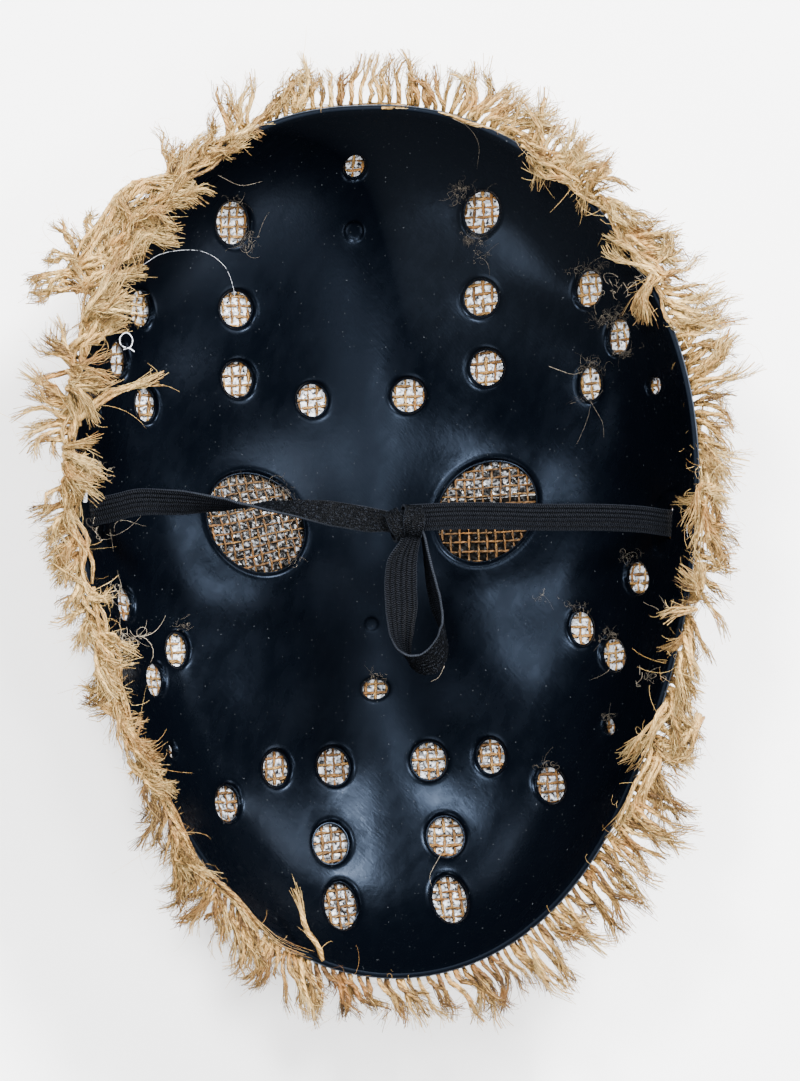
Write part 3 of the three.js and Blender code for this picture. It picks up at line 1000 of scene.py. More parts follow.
        for vent in self.openings.holes():
            size = (vent.wide + vent.high) / 2
            count = int(np.clip(round(math.pi * size / self.hole_pitch), *self.hole_corners))
            scale = min(1.0, size / self.full_lip)
            rows = [(self.hole_row(vent, d * scale, count), depth) for d, depth in self.lip]
            add_opening(rows, self.hole_room)
        for vent in self.openings.dimples:
            rows = [(self.hole_row(vent, d, self.dimple_corners), depth) for d, depth in self.dimple]
            add_opening(rows, self.dimple_room, is_hole=False)
        for slot in SLOTS:
            add_opening([(self.slot_row(slot, d), 0.0) for d in self.slot_rows], self.slot_room)
            per_angle, per_out = slot.pitch(self.form)
            angle, out = slot.centre(self.form)
            run, rise = circle(self.recess_corners).T
            for share in (0.0, 0.5, 1.0):
                away = slot.recess - slot.recess_edge * share
                blocks.append((angle + away * run / per_angle, out + away * rise / per_out, 0.0))
        rim_angle = np.arange(self.rim_points) * 2 * math.pi / self.rim_points
        blocks.extend((rim_angle, np.full_like(rim_angle, out), 0.0) for out in self.rim_rows)
        edge_blocks.append(len(blocks) - 1)
        angle, out = self.raise_up(self.grid(keep_clear))
        inside = out < self.grid_end
        blocks.insert(0, (angle[inside], out[inside], 0.0))
        lengths = [len(block[0]) for block in blocks]
        starts = np.concatenate([[0], np.cumsum(lengths)])
        loops = [(int(starts[i + 1]), int(starts[i + 2])) for i in edge_blocks]
        loop_of = np.full(starts[-1], -1)
        for number, (first, last) in enumerate(loops):
            loop_of[first:last] = number
        angles, outs = (np.concatenate([block[k] for block in blocks]) for k in (0, 1))
        depths = np.repeat([block[2] for block in blocks], lengths)
        return angles, outs, depths + self.recess_depth(angles, outs), loop_of, loops

    def grid(self, keep_clear: list[tuple[Array, float]]) -> Array:
        """Even places over the unrolled plan, clear of the openings.

        Args:
            keep_clear: Closed outlines in the plan, and the room to leave round each.

        Returns:
            The places, one in a row.
        """
        outline = self.flatten(np.linspace(0, 2 * math.pi, 721), np.ones(721))
        low, high = outline.min(axis=0), outline.max(axis=0)
        rows = np.arange(low[1], high[1], self.mesh_pitch * math.sqrt(0.75))
        places = []
        for number, y in enumerate(rows):
            x = np.arange(low[0], high[0], self.mesh_pitch) + (number % 2) * self.mesh_pitch / 2
            places.append(np.stack([x, np.full_like(x, y)], axis=-1))
        grid = np.concatenate(places)
        for ring, room in keep_clear:
            centre = ring.mean(axis=0)
            away, around = grid - centre, ring - centre
            bearing = np.arctan2(away[:, 1], away[:, 0])
            ring_bearing = np.arctan2(around[:, 1], around[:, 0])
            order = np.argsort(ring_bearing)
            reach = np.hypot(around[:, 0], around[:, 1])[order]
            radius = np.interp(bearing, ring_bearing[order], reach, period=2 * math.pi)
            grid = grid[np.hypot(away[:, 0], away[:, 1]) > radius + room]
        return grid

    def polish(self, points: Array) -> Array:
        """How polished the plastic is at places of the shell, from 0, dull, to 1, and a little over 1
        where a painted sheen lightens the forehead.
        """
        x, y = points[:, 0], points[:, 1]
        tone = 1 + self.forehead_painted_sheen * smooth_step((y - self.sheen_from) / self.sheen_over)
        for spot_x, spot_y, wide, high, share in self.dull_spots:
            tone = tone - share * hump((x - spot_x) / wide, (y - spot_y) / high)
        return np.maximum(tone, 0.0)

    def build(self) -> Piece:
        """Makes the shell and lets it stand for its CAD node.

        Returns:
            The shell's object.
        """
        angle, out, depth, loop_of, loops = self.gather()
        flat = self.flatten(angle, out)
        edges = [
            (first + k, first + (k + 1) % (last - first))
            for first, last in loops
            for k in range(last - first)
        ]
        made = delaunay_2d_cdt([tuple(place) for place in flat], edges, [], 0, 1e-5)
        origin = np.array([ids[0] for ids in made[3]])
        corners = origin[np.array(made[2])]
        same_loop = (loop_of[corners] == loop_of[corners[:, :1]]).all(axis=1)
        corners = corners[~(same_loop & (loop_of[corners[:, 0]] >= 0))]
        count = len(angle)
        near = self.form.wall(angle, out, depth)
        far = self.form.wall(angle, out, np.full(count, self.thick))
        points = [near, far]
        faces = [corners, corners[:, ::-1] + count]
        for first, last in loops[:-1]:
            here = np.arange(first, last)
            after = np.roll(here, -1)
            faces.append(np.stack([here, after, after + count, here + count], axis=-1))
        first, last = loops[-1]
        here = np.arange(first, last)
        rows = [here]
        total = 2 * count
        for offset, rise, _ in self.rim_round:
            turned = self.form.wall(angle[here], out[here], offset)
            points.append(turned + self.form.up_wall(angle[here], out[here]) * rise)
            rows.append(np.arange(total, total + len(here)))
            total += len(here)
        rows.append(here + count)
        for inner_row, outer_row in zip(rows, rows[1:]):
            turned_in, turned_out = np.roll(inner_row, -1), np.roll(outer_row, -1)
            faces.append(np.stack([turned_in, inner_row, outer_row, turned_out], axis=-1))
        corners = np.concatenate(points)
        tone = self.polish(corners)
        # The rim's rows take their tones, 2 being the painted highlight on the outer edge.
        tone[2 * count :] = np.repeat([row[2] for row in self.rim_round], len(here))
        parts = MeshParts()
        parts.add(corners, faces, tone)
        shell = parts.build("moulded_shell", BlackPlastic().material())
        shell.data.set_sharp_from_angle(angle=math.radians(self.sharp_degrees))
        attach(shell, "root")
        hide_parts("shell")
        return shell


class YarnSet(Enum):
    """The two sets of yarns, each with the name that its random numbers come from."""

    ALONG = "yarns along"
    ACROSS = "yarns across"


@dataclass
class Weave:
    """The burlap over the outside of the shell, as its two sets of crossing yarns."""

    form: FaceForm
    pitch_across: float = 2.9
    pitch_along: float = 3.05
    lift: float = 3.05
    crimp: float = 0.42
    yarn_wide: float = 1.0
    yarn_thick: float = 0.8
    # The yarns' tone, and how much it and the width differ from yarn to yarn and along one.
    tone: float = 0.34
    tone_spread: Pair = (0.13, 0.05)
    width_spread: Pair = (0.12, 0.07)
    # How much darker, as painted shade, and narrower the yarns look behind the eyes, and where those
    # are.
    eye_shade: float = 0.5
    eye_narrow: float = 0.3
    eye: Pair = (36.0, 6.0)
    eye_radius: float = 19.0
    # How much darker they are at the chin, from where down, and over what length.
    chin_shade: float = 0.14
    chin_from: float = 38.0
    chin_over: float = 14.0
    # The yarns behind the vents are darkened with painted shade, to some way out from each vent's
    # middle.
    vents: Sequence[Vent] = ()
    vent_shade: float = 0.28
    vent_shade_reach: float = 5.5
    vent_shade_fade: float = 2.5
    lowest: float = 0.5
    trim: float = 0.992
    # The cloth was laid on a little askew about the left eye.
    askew: float = 11.0
    askew_x: float = -36.0
    askew_y: float = 4.0
    askew_spread: float = 26.0
    table_step: float = 0.5
    # What the tables cover across, along and in length run, and the yarns' reach from the middle.
    table_x: Pair = (-100.0, 100.0)
    table_y: Pair = (-142.0, 140.0)
    longest: float = 260.0
    reach: Pair = (150.0, 190.0)
    # Where the search for a crossing may start, its passes, and the greatest miss.
    start_x: Pair = (-90.0, 90.0)
    start_y: Pair = (-130.0, 128.0)
    passes: int = 80
    miss: float = 0.3
    rim_slope: float = 3.2
    # How far single yarns stray from even spacing, and the lengths of their slow drift.
    stray: float = 0.13
    drifts: tuple[float, ...] = (21.0, 34.0, 55.0)

    def plan_height(self, x: Array, y: Array) -> Array:
        """The wearer's side's height over the plan, carried on past the rim at its own slope."""
        angle, out = self.form.locate(x, y)
        edge = self.form.rim(angle)
        reach = np.hypot(edge[..., 0], edge[..., 1] - self.form.bowl_y)
        inside = self.form.inner(angle, np.minimum(out, 1.0))[..., 2]
        return inside + np.maximum(out - 1, 0) * reach * self.rim_slope

    @cached_property
    def tables(self) -> tuple[Array, Array, Array, Array, Array]:
        """Tables that give x for a length run across at a y, and y for one run along at an x.

        Returns:
            The x places, the y places, the lengths, x by length and y place, y by length and x place.
        """
        ends = (self.table_x, self.table_y, (-self.longest, self.longest))
        xs, ys, runs = (
            np.arange(low, high + self.table_step, self.table_step) for low, high in ends
        )
        height = self.plan_height(*np.meshgrid(xs, ys))
        slope_y, slope_x = np.gradient(height, self.table_step)

        def inverse(slope: Array, places: Array) -> Array:
            """Places by length run, from slopes with one line of places in each row."""
            step = np.sqrt(1 + slope**2)
            run = np.cumsum((step[:, 1:] + step[:, :-1]) / 2, axis=1) * self.table_step
            run = np.concatenate([np.zeros((len(run), 1)), run], axis=1)
            run -= run[:, [int(np.argmin(np.abs(places)))]]
            return np.stack([np.interp(runs, row, places) for row in run], axis=1)

        return xs, ys, runs, inverse(slope_x, xs), inverse(slope_y.T, ys)

    @staticmethod
    def read(table: Array, row: Array, column: Array) -> Array:
        """Reads a table between its places, by row and column as numbers with fractions."""
        row = np.clip(row, 0, table.shape[0] - 1.001)
        column = np.clip(column, 0, table.shape[1] - 1.001)
        i, j = row.astype(int), column.astype(int)
        a, b = row - i, column - j
        low = table[i, j] * (1 - b) + table[i, j + 1] * b
        high = table[i + 1, j] * (1 - b) + table[i + 1, j + 1] * b
        return low * (1 - a) + high * a

    @cached_property
    def nodes(self) -> dict[str, Array]:
        """Where each yarn along crosses each yarn across.

        Returns:
            Arrays by name: angle, point, normal and inside, each by yarn along and yarn across.
        """
        random = seeded("weave")
        spacing = []
        for half, pitch in zip(self.reach, (self.pitch_across, self.pitch_along)):
            number = np.arange(-int(half / pitch), int(half / pitch) + 1)
            spacing.append(number * pitch + random.normal(0, self.stray, len(number)))
        u, v = np.meshgrid(*spacing, indexing="ij")
        u = u + self.wander(u, v, random)
        v = v + self.wander(v, u, random)
        from_x, from_y = u - self.askew_x, v - self.askew_y
        near = np.exp(-0.5 * (from_x**2 + from_y**2) / self.askew_spread**2)
        turn = math.radians(self.askew) * near
        u, v = spun(from_x, from_y, turn, (self.askew_x, self.askew_y))
        xs, ys, runs, x_table, y_table = self.tables
        x, y = np.clip(u, *self.start_x), np.clip(v, *self.start_y)
        row_u = (u - runs[0]) / self.table_step
        row_v = (v - runs[0]) / self.table_step
        for _ in range(self.passes):
            new_x = self.read(x_table, row_u, (y - ys[0]) / self.table_step)
            new_y = self.read(y_table, row_v, (x - xs[0]) / self.table_step)
            x, y = x + 0.5 * (new_x - x), y + 0.5 * (new_y - y)
        angle, out = self.form.locate(x, y)
        held = np.minimum(out, 1.0)
        return {
            "angle": angle,
            "point": self.form.wall(angle, held, self.lift),
            "normal": self.form.outward(angle, held),
            "inside": (out < self.trim) & (np.hypot(new_x - x, new_y - y) < self.miss),
        }

    def wander(self, along: Array, across: Array, random: Random) -> Array:
        """Slow drift of the yarns from even spacing."""
        drift = np.zeros_like(along)
        for length in self.drifts:
            phase, slant = random.uniform(0, 2 * math.pi), random.uniform(0.3, 1.0)
            drift += self.stray * np.sin(2 * math.pi * (across + slant * along) / length + phase)
        return drift

    def shade(self, point: Array) -> tuple[Array, Array]:
        """How the yarns look by their place.

        Args:
            point: Places along them.

        Returns:
            How much darker they are there, with painted shade behind the eyes and vents, and their
            width as a share.
        """
        x, y = point[..., 0], point[..., 1]
        eye_x, eye_y = self.eye
        from_eye = np.hypot((np.abs(x) - eye_x) / self.eye_radius, (y - eye_y) / self.eye_radius)
        by_eye = 1 - smooth_step((from_eye - 0.8) / 0.4)
        chin = smooth_step(-(y + self.chin_from) / self.chin_over)
        # Painted shade behind the vents, fading out past their reach.
        in_vent = np.zeros(x.shape)
        for vent in self.vents:
            away = np.hypot(x - vent.x, y - vent.y) - self.vent_shade_reach
            in_vent = np.maximum(in_vent, 1 - smooth_step(away / self.vent_shade_fade))
        darker = self.eye_shade * by_eye + self.chin_shade * chin + self.vent_shade * in_vent
        return darker, 1 - self.eye_narrow * by_eye

    def yarns(self, parts: MeshParts, yarn_set: YarnSet) -> dict[str, Array]:
        """Adds one set of yarns to the mesh.

        Args:
            parts: The mesh.
            yarn_set: Which set.

        Returns:
            The loose ends: point, direction, angle and tone of each.
        """
        random = seeded(yarn_set.value)
        point, normal, inside, angle = (
            self.nodes[name] for name in ("point", "normal", "inside", "angle")
        )
        over = np.where(np.indices(inside.shape).sum(axis=0) % 2 == 0, 1.0, -1.0)
        if yarn_set is YarnSet.ACROSS:
            arrays = (point, normal, inside, angle, -over)
            point, normal, inside, angle, over = (np.swapaxes(array, 0, 1) for array in arrays)
        centre = point + normal * (over * self.crimp)[..., None]
        centre[..., 2] = np.maximum(centre[..., 2], self.lowest)
        tangent = unit(np.gradient(point, axis=1))
        across = unit(np.cross(normal, tangent))
        yarn = (len(point), 1)
        by_yarn, by_place = self.width_spread
        width = random.lognormal(0, by_yarn, yarn) * random.lognormal(0, by_place, inside.shape)
        by_yarn, by_place = self.tone_spread
        tone = self.tone + random.normal(0, by_yarn, yarn) + random.normal(0, by_place, inside.shape)
        darker, narrower = self.shade(point)
        tone, width = tone - darker, width * narrower
        run = np.cumsum(np.linalg.norm(np.diff(point, axis=1, prepend=point[:, :1]), axis=-1), axis=1)
        none = np.zeros(yarn, bool)
        before = np.concatenate([none, inside[:, :-1]], axis=1)
        beyond = np.concatenate([inside[:, 1:], none], axis=1)
        keep = inside & (before | beyond)
        begins, ends = keep & ~before, keep & ~beyond
        sweep(
            parts,
            centre[keep],
            (across * width[..., None] * self.yarn_wide / 2)[keep],
            (normal * self.yarn_thick / 2)[keep],
            begins[keep],
            circle(4),
            tone[keep],
            run[keep],
        )
        values = {"point": centre, "direction": tangent, "angle": angle, "tone": tone}
        loose = {name: np.concatenate([value[ends], value[begins]]) for name, value in values.items()}
        loose["direction"][ends.sum() :] *= -1
        return loose

    def build(self) -> tuple[Piece, dict[str, Array]]:
        """Makes the cloth.

        Returns:
            Its object, and the loose ends of its yarns.
        """
        parts = MeshParts()
        loose = [self.yarns(parts, yarn_set) for yarn_set in YarnSet]
        cloth = parts.build("burlap_weave", Jute("woven_jute").material())
        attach(cloth, "root")
        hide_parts("burlap_cover")
        return cloth, {name: np.concatenate([row[name] for row in loose]) for name in loose[0]}


@dataclass(frozen=True)
class Sector:
    """How the frayed edge lies at one bearing from the middle of the mask, in degrees.

    flow is the way the strands lie, seen from above, and scatter how much they differ; over is the
    share that curls in over the rim, which then lies along over_flow. more is how many strands
    there are besides the ends of the woven yarns, for each ten degrees.
    """

    bearing: float
    flow: float
    reach: float
    scatter: float = 14.0
    more: float = 3.0
    over: float = 0.0
    over_flow: float = 0.0
    over_reach: float = 12.0


@dataclass
class Strands:
    """Yarns that open into brushes of fibres: middle lines and how each is made."""

    ARRAYS: ClassVar[tuple[str, ...]] = ("path", "thick", "splay", "opening", "tone")
    path: Array
    thick: Array
    splay: Array
    opening: Array
    tone: Array
    fibres: int = 21
    points: int = 5
    # The yarn inside, as a share of the strand, how much thinner it ends and how much darker.
    core: float = 0.38
    core_thinned: float = 0.7
    core_darker: float = 0.12
    core_sides: int = 5
    # The shares along a strand where its fibres leave it and where they end.
    leave: Pair = (-0.1, 0.35)
    end: Pair = (0.84, 1.06)
    # How far a fibre winds round the strand, and how wide the closed strand is as a share.
    winding: float = 4.5
    closed: float = 0.44
    # How far fibres wave in the closed strand, and how much more in the brush.
    waves: Pair = (0.14, 0.55)
    radius_spread: float = 0.25
    thinner: float = 0.35
    # How fibres differ in tone, how much darker their roots are as painted shade and paler their tips,
    # and the place of the mean.
    tone_spread: float = 0.32
    root_shade_slope: float = 0.4
    tone_middle: float = 0.55

    def chosen(self, which: Array) -> "Strands":
        """The strands that a mask of True and False picks."""
        return replace(self, **{name: getattr(self, name)[which] for name in self.ARRAYS})

    @staticmethod
    def joined(sets: Sequence["Strands"]) -> "Strands":
        """Sets of strands with equal numbers of points, as one."""
        arrays = (np.concatenate([getattr(one, name) for one in sets]) for name in Strands.ARRAYS)
        return Strands(*arrays)

    def cores(self, parts: MeshParts) -> None:
        """Adds the yarn inside each strand, which thins out where it opens."""
        picked = np.linspace(0, self.path.shape[1] - 1, self.points + 2).round().astype(int)
        share = picked / (self.path.shape[1] - 1)
        thinned = smooth_step((share - self.opening[:, None]) / (1.02 - self.opening[:, None]))
        radii = self.thick[:, None] * self.core * (1 - self.core_thinned * thinned)
        tone = self.tone - self.core_darker
        sweep_fibres(parts, self.path[:, picked], radii, tone, self.core_sides)

    def brushes(self, parts: MeshParts, fibre_radius: float, random: Random) -> None:
        """Adds the fibres that come out of each strand.

        Args:
            parts: The mesh.
            fibre_radius: Radius of a fibre at its root.
            random: The random numbers.
        """
        share = np.linspace(0, 1, self.points) ** 0.9
        count, steps = self.path.shape[:2]
        shape = (count, self.fibres)
        opening = self.opening[:, None, None]
        first = np.clip(random.uniform(*self.leave, shape), 0, 0.8)[..., None]
        last = random.uniform(*self.end, shape)[..., None]
        at = np.clip(first + (last - first) * share, 0, 1.08)
        place = at * (steps - 1)
        low = np.clip(place.astype(int), 0, steps - 2)
        part = (place - low)[..., None]
        picked = np.arange(count)[:, None, None]
        tangent = unit(np.gradient(self.path, axis=1))
        aside = unit(np.cross(tangent, UP))
        upright = np.cross(aside, tangent)

        def along(values: Array) -> Array:
            """Values of each strand, read at each fibre's own points."""
            return values[picked, low] * (1 - part) + values[picked, low + 1] * part

        spot = random.uniform(0.3, 1, shape)[..., None] ** 0.6
        turn = random.uniform(0, 2 * math.pi, shape)[..., None] + self.winding * np.minimum(at, 0.8)
        opened = smooth_step((at - opening) / (1.1 - opening))
        spread = self.thick[:, None, None] * self.closed + self.splay[:, None, None] * opened
        ripple = random.normal(0, 1, (*shape, 4, 1))
        loose = self.waves[0] + self.waves[1] * opened
        wave = loose * (ripple[..., 0, :] * np.sin(5 * at) + ripple[..., 1, :] * np.sin(13 * at))
        heave = loose * (ripple[..., 2, :] * np.sin(4 * at) + ripple[..., 3, :] * np.sin(11 * at))
        wide = (spread * spot * np.cos(turn) + wave)[..., None]
        high = (0.8 * spread * spot * np.sin(turn) + heave)[..., None]
        fibre = along(self.path) + along(aside) * wide + along(upright) * high
        size = fibre_radius * random.lognormal(0, self.radius_spread, shape)[..., None]
        size = size * (1 - self.thinner * share**2)
        tone = self.tone[:, None, None] + random.normal(0, self.tone_spread, (*shape, 1))
        # Roots darker with painted shade, tips paler.
        tone = tone + self.root_shade_slope * (at - self.tone_middle)
        steps = len(share)
        sweep_fibres(
            parts,
            fibre.reshape(-1, steps, 3),
            np.broadcast_to(size, (*shape, steps)).reshape(-1, steps),
            tone.reshape(-1, steps),
        )


@dataclass(frozen=True)
class Tuft:
    """A bundle of strands that lies over the rim: its line from above, its width and its make."""

    line: tuple[Pair, ...]
    wide: float
    strands: int
    thick: float = 1.3
    splay: float = 1.6
    lift: float = 3.0
    sag: float = 2.0


@dataclass(frozen=True)
class Runner:
    """Yarns that lie along the rim between two bearings, in lengths that end in brushes.

    Attributes:
        first: The bearing where they begin, in degrees.
        last: The bearing where they end.
        count: How many lie side by side.
        offset: How far out of the rim the inner one lies.
        lift: How far over the rim they lie.
        wave: How far they wave.
    """

    first: float
    last: float
    count: int
    offset: float = 1.2
    lift: float = 0.4
    wave: float = 0.7


@dataclass
class FrayedEdge:
    """The loose ends of the yarns past the rim, opened into brushes of fibres."""

    form: FaceForm
    loose: dict[str, Array]
    sectors: tuple[Sector, ...] = (
        Sector(0, -62, 12, 25, 11), Sector(8, -78, 10, 28, 13), Sector(15, -30, 11, 30, 12),
        Sector(21, 4, 14, 20, 9), Sector(28, 14, 16, 20, 9), Sector(35, 4, 14, 24, 11),
        Sector(42, 12, 13, 24, 10), Sector(50, -8, 13, 38, 12, 0.3, -100),
        Sector(58, 4, 13, 40, 12, 0.3, -60, 10), Sector(66, 22, 14, 38, 11, 0.2, -60, 10),
        Sector(74, 62, 13, 30, 8), Sector(80, 96, 14, 24, 4), Sector(88, 92, 11, 17, 2),
        Sector(95, 86, 12, 20, 3), Sector(103, 72, 13, 20, 4), Sector(112, 78, 11, 32, 6),
        Sector(122, 62, 12, 34, 9, 0.15, 40, 8), Sector(132, 66, 13, 34, 11, 0.35, 40, 10),
        Sector(142, 80, 14, 34, 12, 0.45, 20), Sector(152, 120, 13, 36, 12, 0.45, 0, 13),
        Sector(160, 178, 12, 30, 15, 0.4, -10, 13), Sector(168, 236, 12, 26, 15, 0.3, -50, 11),
        Sector(176, 238, 11, 26, 15), Sector(184, 232, 8, 26, 14),
        Sector(192, 240, 8, 28, 13, 0.12, 0, 8), Sector(200, 250, 8, 30, 11, 0.2, -30, 10),
        Sector(208, 258, 8.5, 30, 11, 0.35, -45, 11), Sector(216, 270, 9, 28, 11, 0.35, -52, 11),
        Sector(224, 278, 9.5, 26, 11, 0.3, -40, 10), Sector(232, 284, 14, 20, 12, 0.15, -35, 9),
        Sector(240, 272, 13, 20, 10), Sector(250, 278, 14, 18, 8), Sector(260, 290, 14, 16, 6),
        Sector(270, 300, 13, 14, 4), Sector(280, 310, 15, 12, 4), Sector(290, 316, 17, 11, 4),
        Sector(300, 320, 17, 12, 5), Sector(310, 316, 16, 16, 7), Sector(318, 300, 15, 18, 9),
        Sector(326, 280, 14, 20, 12, 0.12, 230, 8), Sector(334, 270, 13, 22, 12, 0.3, 215, 10),
        Sector(342, 284, 13, 24, 12, 0.08, 180, 8), Sector(350, 306, 12, 26, 11),
        Sector(360, 298, 12, 25, 11),
    )
    tufts: tuple[Tuft, ...] = (
        Tuft(((-97, 36), (-86.5, 45), (-76, 49.5), (-64.7, 52.9)), 1.0, 2, 1.7, 1.1, 4.5, 3),
        Tuft(((-93, 84), (-85, 94), (-75, 103), (-68, 105)), 5, 6, 1.3, 1.8, 3.5, 2),
        Tuft(((-86, 94), (-78, 104), (-69, 110), (-61, 109)), 5, 6, 1.3, 1.8, 3.5, 2),
        Tuft(((-79, 103), (-70, 111), (-62, 112), (-54, 107)), 5, 6, 1.3, 1.8, 3.5, 2),
        Tuft(((-84, 90), (-72, 96.5), (-58.5, 95.4)), 4.5, 6, 1.3, 1.8, 3.5, 2),
        Tuft(((-92, 85), (-84, 88), (-73, 89.6)), 3, 4),
        Tuft(((-92, 79), (-83, 83), (-71.5, 83)), 3, 4),
        Tuft(((-95, 61), (-86, 66.5), (-77.7, 69.2)), 3.5, 5, 1.5, 2.4),
        Tuft(((-90, 88), (-96, 90), (-102, 88)), 2, 3, 1.3, 1.2, 1, 1),
        Tuft(((-91, 84), (-99, 84), (-107, 81)), 3, 4, 1.4, 1.6, 1, 2),
        Tuft(((-92, 81), (-99, 80), (-105, 76)), 2, 3, 1.3, 1.6, 1, 2),
        Tuft(((-90, 90), (-94, 96), (-97, 101)), 1.5, 2, 1.3, 1.2, 1, 0),
        Tuft(((-87, 93), (-87, 98), (-86, 103)), 1.5, 2, 1.3, 1.0, 1, 0),
        Tuft(((-95, -15), (-91, -14.4), (-86.7, -15.4)), 2.0, 3, 1.3, 1.5),
        Tuft(((-93, -25), (-87, -28), (-81, -32.4)), 2.5, 3, 1.3, 2.8),
        Tuft(((-92, -37), (-88, -41), (-82.3, -47.7)), 3, 4, 1.4, 1.8),
        Tuft(((-91, -46), (-86, -50.5), (-79.6, -55.4)), 3, 4, 1.4, 1.8),
        Tuft(((-83, -64), (-78, -70), (-70.4, -74.4)), 3, 4, 1.3, 1.8),
        Tuft(((-26, -132), (-28, -124), (-30.8, -117.6), (-35.5, -104.3)), 0.8, 1, 1.9, 1.3, 3.2, 3),
        Tuft(((91, 73), (83, 80), (73.4, 89.9)), 4, 5, 1.3, 2.2, 3.5, 1),
        Tuft(((90, 78), (84, 74), (80.4, 62.6)), 4, 5, 1.3, 3.2, 3.5, 2),
        Tuft(((68, 104), (60, 108.4), (51.3, 114.1)), 3, 3),
        Tuft(((76, 110), (69, 106), (66.5, 96.5)), 3, 4, 1.3, 2.2),
        Tuft(((101, 12), (97.4, 9), (89.7, 5.9)), 2, 2),
        Tuft(((85, -54), (79, -62), (68.5, -75)), 3, 4, 1.3, 3.4, 3, 2),
        Tuft(((93, -60), (87, -68), (79.5, -76)), 3, 4, 1.4, 1.8),
        Tuft(((80, -68), (75, -80), (65.4, -98.3)), 5, 6, 1.3, 1.6, 2.5, 1),
    )
    runners: tuple[Runner, ...] = (
        Runner(-40, 14, 1, 2.0, -2.2, 0.6), Runner(32, 62, 2, 1.6, 0.2, 1.3),
        Runner(58, 84, 1, 1.4, -1.4, 0.8), Runner(80, 116, 1, 1.6, -2.4, 0.7),
        Runner(112, 160, 4, 0.4, 1.2, 1.5), Runner(156, 206, 4, 0.6, 1.0, 1.6),
        Runner(204, 250, 3, 1.2, 0.0, 1.2),
    )
    runner_span: float = 19.0
    runner_gap: float = 0.85
    # How many degrees a length laps over the next, and how far it is shifted.
    runner_lap: float = 3.0
    runner_shift: float = 2.5
    # Points along a length, the cycles of its waves, and how far its end flicks aside.
    runner_points: int = 17
    runner_cycles: Pair = (0.8, 2.6)
    flick: float = 4.0
    # The least height over the rim of a length that lies on it.
    runner_over: float = 1.1
    # How the lengths' thickness, splay, opening, tone and fibres differ from the strands'.
    runner_thin: float = -0.22
    runner_splay: Pair = (0.7, 0.3)
    runner_opening: Pair = (0.5, 0.8)
    runner_tone: Pair = (0.45, 0.14)
    runner_fibres: int = 16
    runner_fibre_points: int = 9
    # A tuft's thickness spread, opening, tone, and how far its strands are cut or stray.
    tuft_thick_spread: float = 0.12
    tuft_opening: Pair = (0.5, 0.75)
    tuft_tone: Pair = (0.62, 0.08)
    tuft_cut: Pair = (0.86, 1.06)
    tuft_stray: float = 0.35
    tuft_rise: float = 0.6
    view_roll: float = -3.1
    steps: int = 10
    # How far strands wave, how that spreads, and over how many cycles.
    waviness: float = 1.05
    wave_spread: float = 0.4
    wave_cycles: Pair = (0.9, 2.1)
    yarn_thick: float = 1.55
    thick_spread: float = 0.15
    fibre_radius: float = 0.118
    # Strands hang together in clumps of this width, on a rim of this mean radius.
    clump_pitch: float = 7.5
    rim_radius: float = 110.0
    root_drop: float = 4.5
    # How much darker the strands are towards the chin, as painted shade.
    chin_shade: float = 0.11
    # How many more strands are tried, how many times ten degrees go round the mask, and where
    # their roots may be, as shares out and as distances outside the wearer's side.
    tries: int = 1200
    tens_round: int = 36
    root_out: Pair = (0.965, 0.99)
    root_lift: Pair = (2.8, 4.6)
    # How clumps and single strands differ in direction, in reach, in lift and in bend by degrees.
    flow_spread: Pair = (0.85, 0.6)
    reach_spread: Pair = (0.12, 0.22)
    reach_range: Pair = (0.4, 1.35)
    lift_spread: Pair = (0.1, 0.08)
    bend_spread: Pair = (20.0, 26.0)
    # Strands are this much longer than they reach, and more by this if they curl over the rim.
    slack: float = 1.08
    over_length: float = 6.0
    # How far over the rim strands rise before they fold, with and without curling over.
    over_rise: float = 3.4
    out_rise: float = 0.2
    # How much of its yarn's direction and of straight up a strand starts with.
    start_along: float = 0.25
    start_up: float = 0.1
    # How steeply strands set out, with and without curling over.
    over_lift: float = 0.02
    out_lift: float = 0.06
    # Where strands fold, as a share of what lies against the wall, over what share of the
    # strand, and how they droop to their tips; each pair is with and without curling over.
    fold_from: float = 0.75
    fold: Pair = (0.51, 0.26)
    droop: Pair = (0.3, 0.075)
    # The share of a strand that may lie against the wall.
    held_range: Pair = (0.04, 0.75)
    # Where strands open, and how that and the splay of their brushes spread.
    opening: Pair = (0.46, 0.2)
    splay: Pair = (0.5, 0.45)
    tone: float = 0.08
    tone_spread: float = 0.12

    def lie(self, bearing: Array) -> dict[str, Array]:
        """The sectors' values at bearings.

        Args:
            bearing: In degrees, from 0 to 360.

        Returns:
            Each value by its name.
        """
        names = ("flow", "reach", "scatter", "more", "over", "over_flow", "over_reach")
        places = [sector.bearing for sector in self.sectors]
        values = {name: [getattr(sector, name) for sector in self.sectors] for name in names}
        for name in ("flow", "over_flow"):
            values[name] = np.degrees(np.unwrap(np.radians(values[name])))
        return {name: np.interp(bearing, places, values[name]) for name in names}

    def more_roots(self, random: Random) -> dict[str, Array]:
        """Roots of strands that lie among the ends of the woven yarns.

        Args:
            random: The random numbers.

        Returns:
            The same as for the woven yarns' ends.
        """
        bearing = random.uniform(0, 360, self.tries)
        share = self.lie(bearing)["more"] * self.tens_round / self.tries
        kept = random.random(self.tries) < share
        angle = self.form.at_bearing(bearing[kept])
        out = random.uniform(*self.root_out, len(angle))
        return {
            "point": self.form.wall(angle, out, random.uniform(*self.root_lift, len(angle))),
            "direction": self.form.up_wall(angle, out),
            "angle": angle,
            "tone": 0.5 + random.normal(0, 0.1, len(angle)),
        }

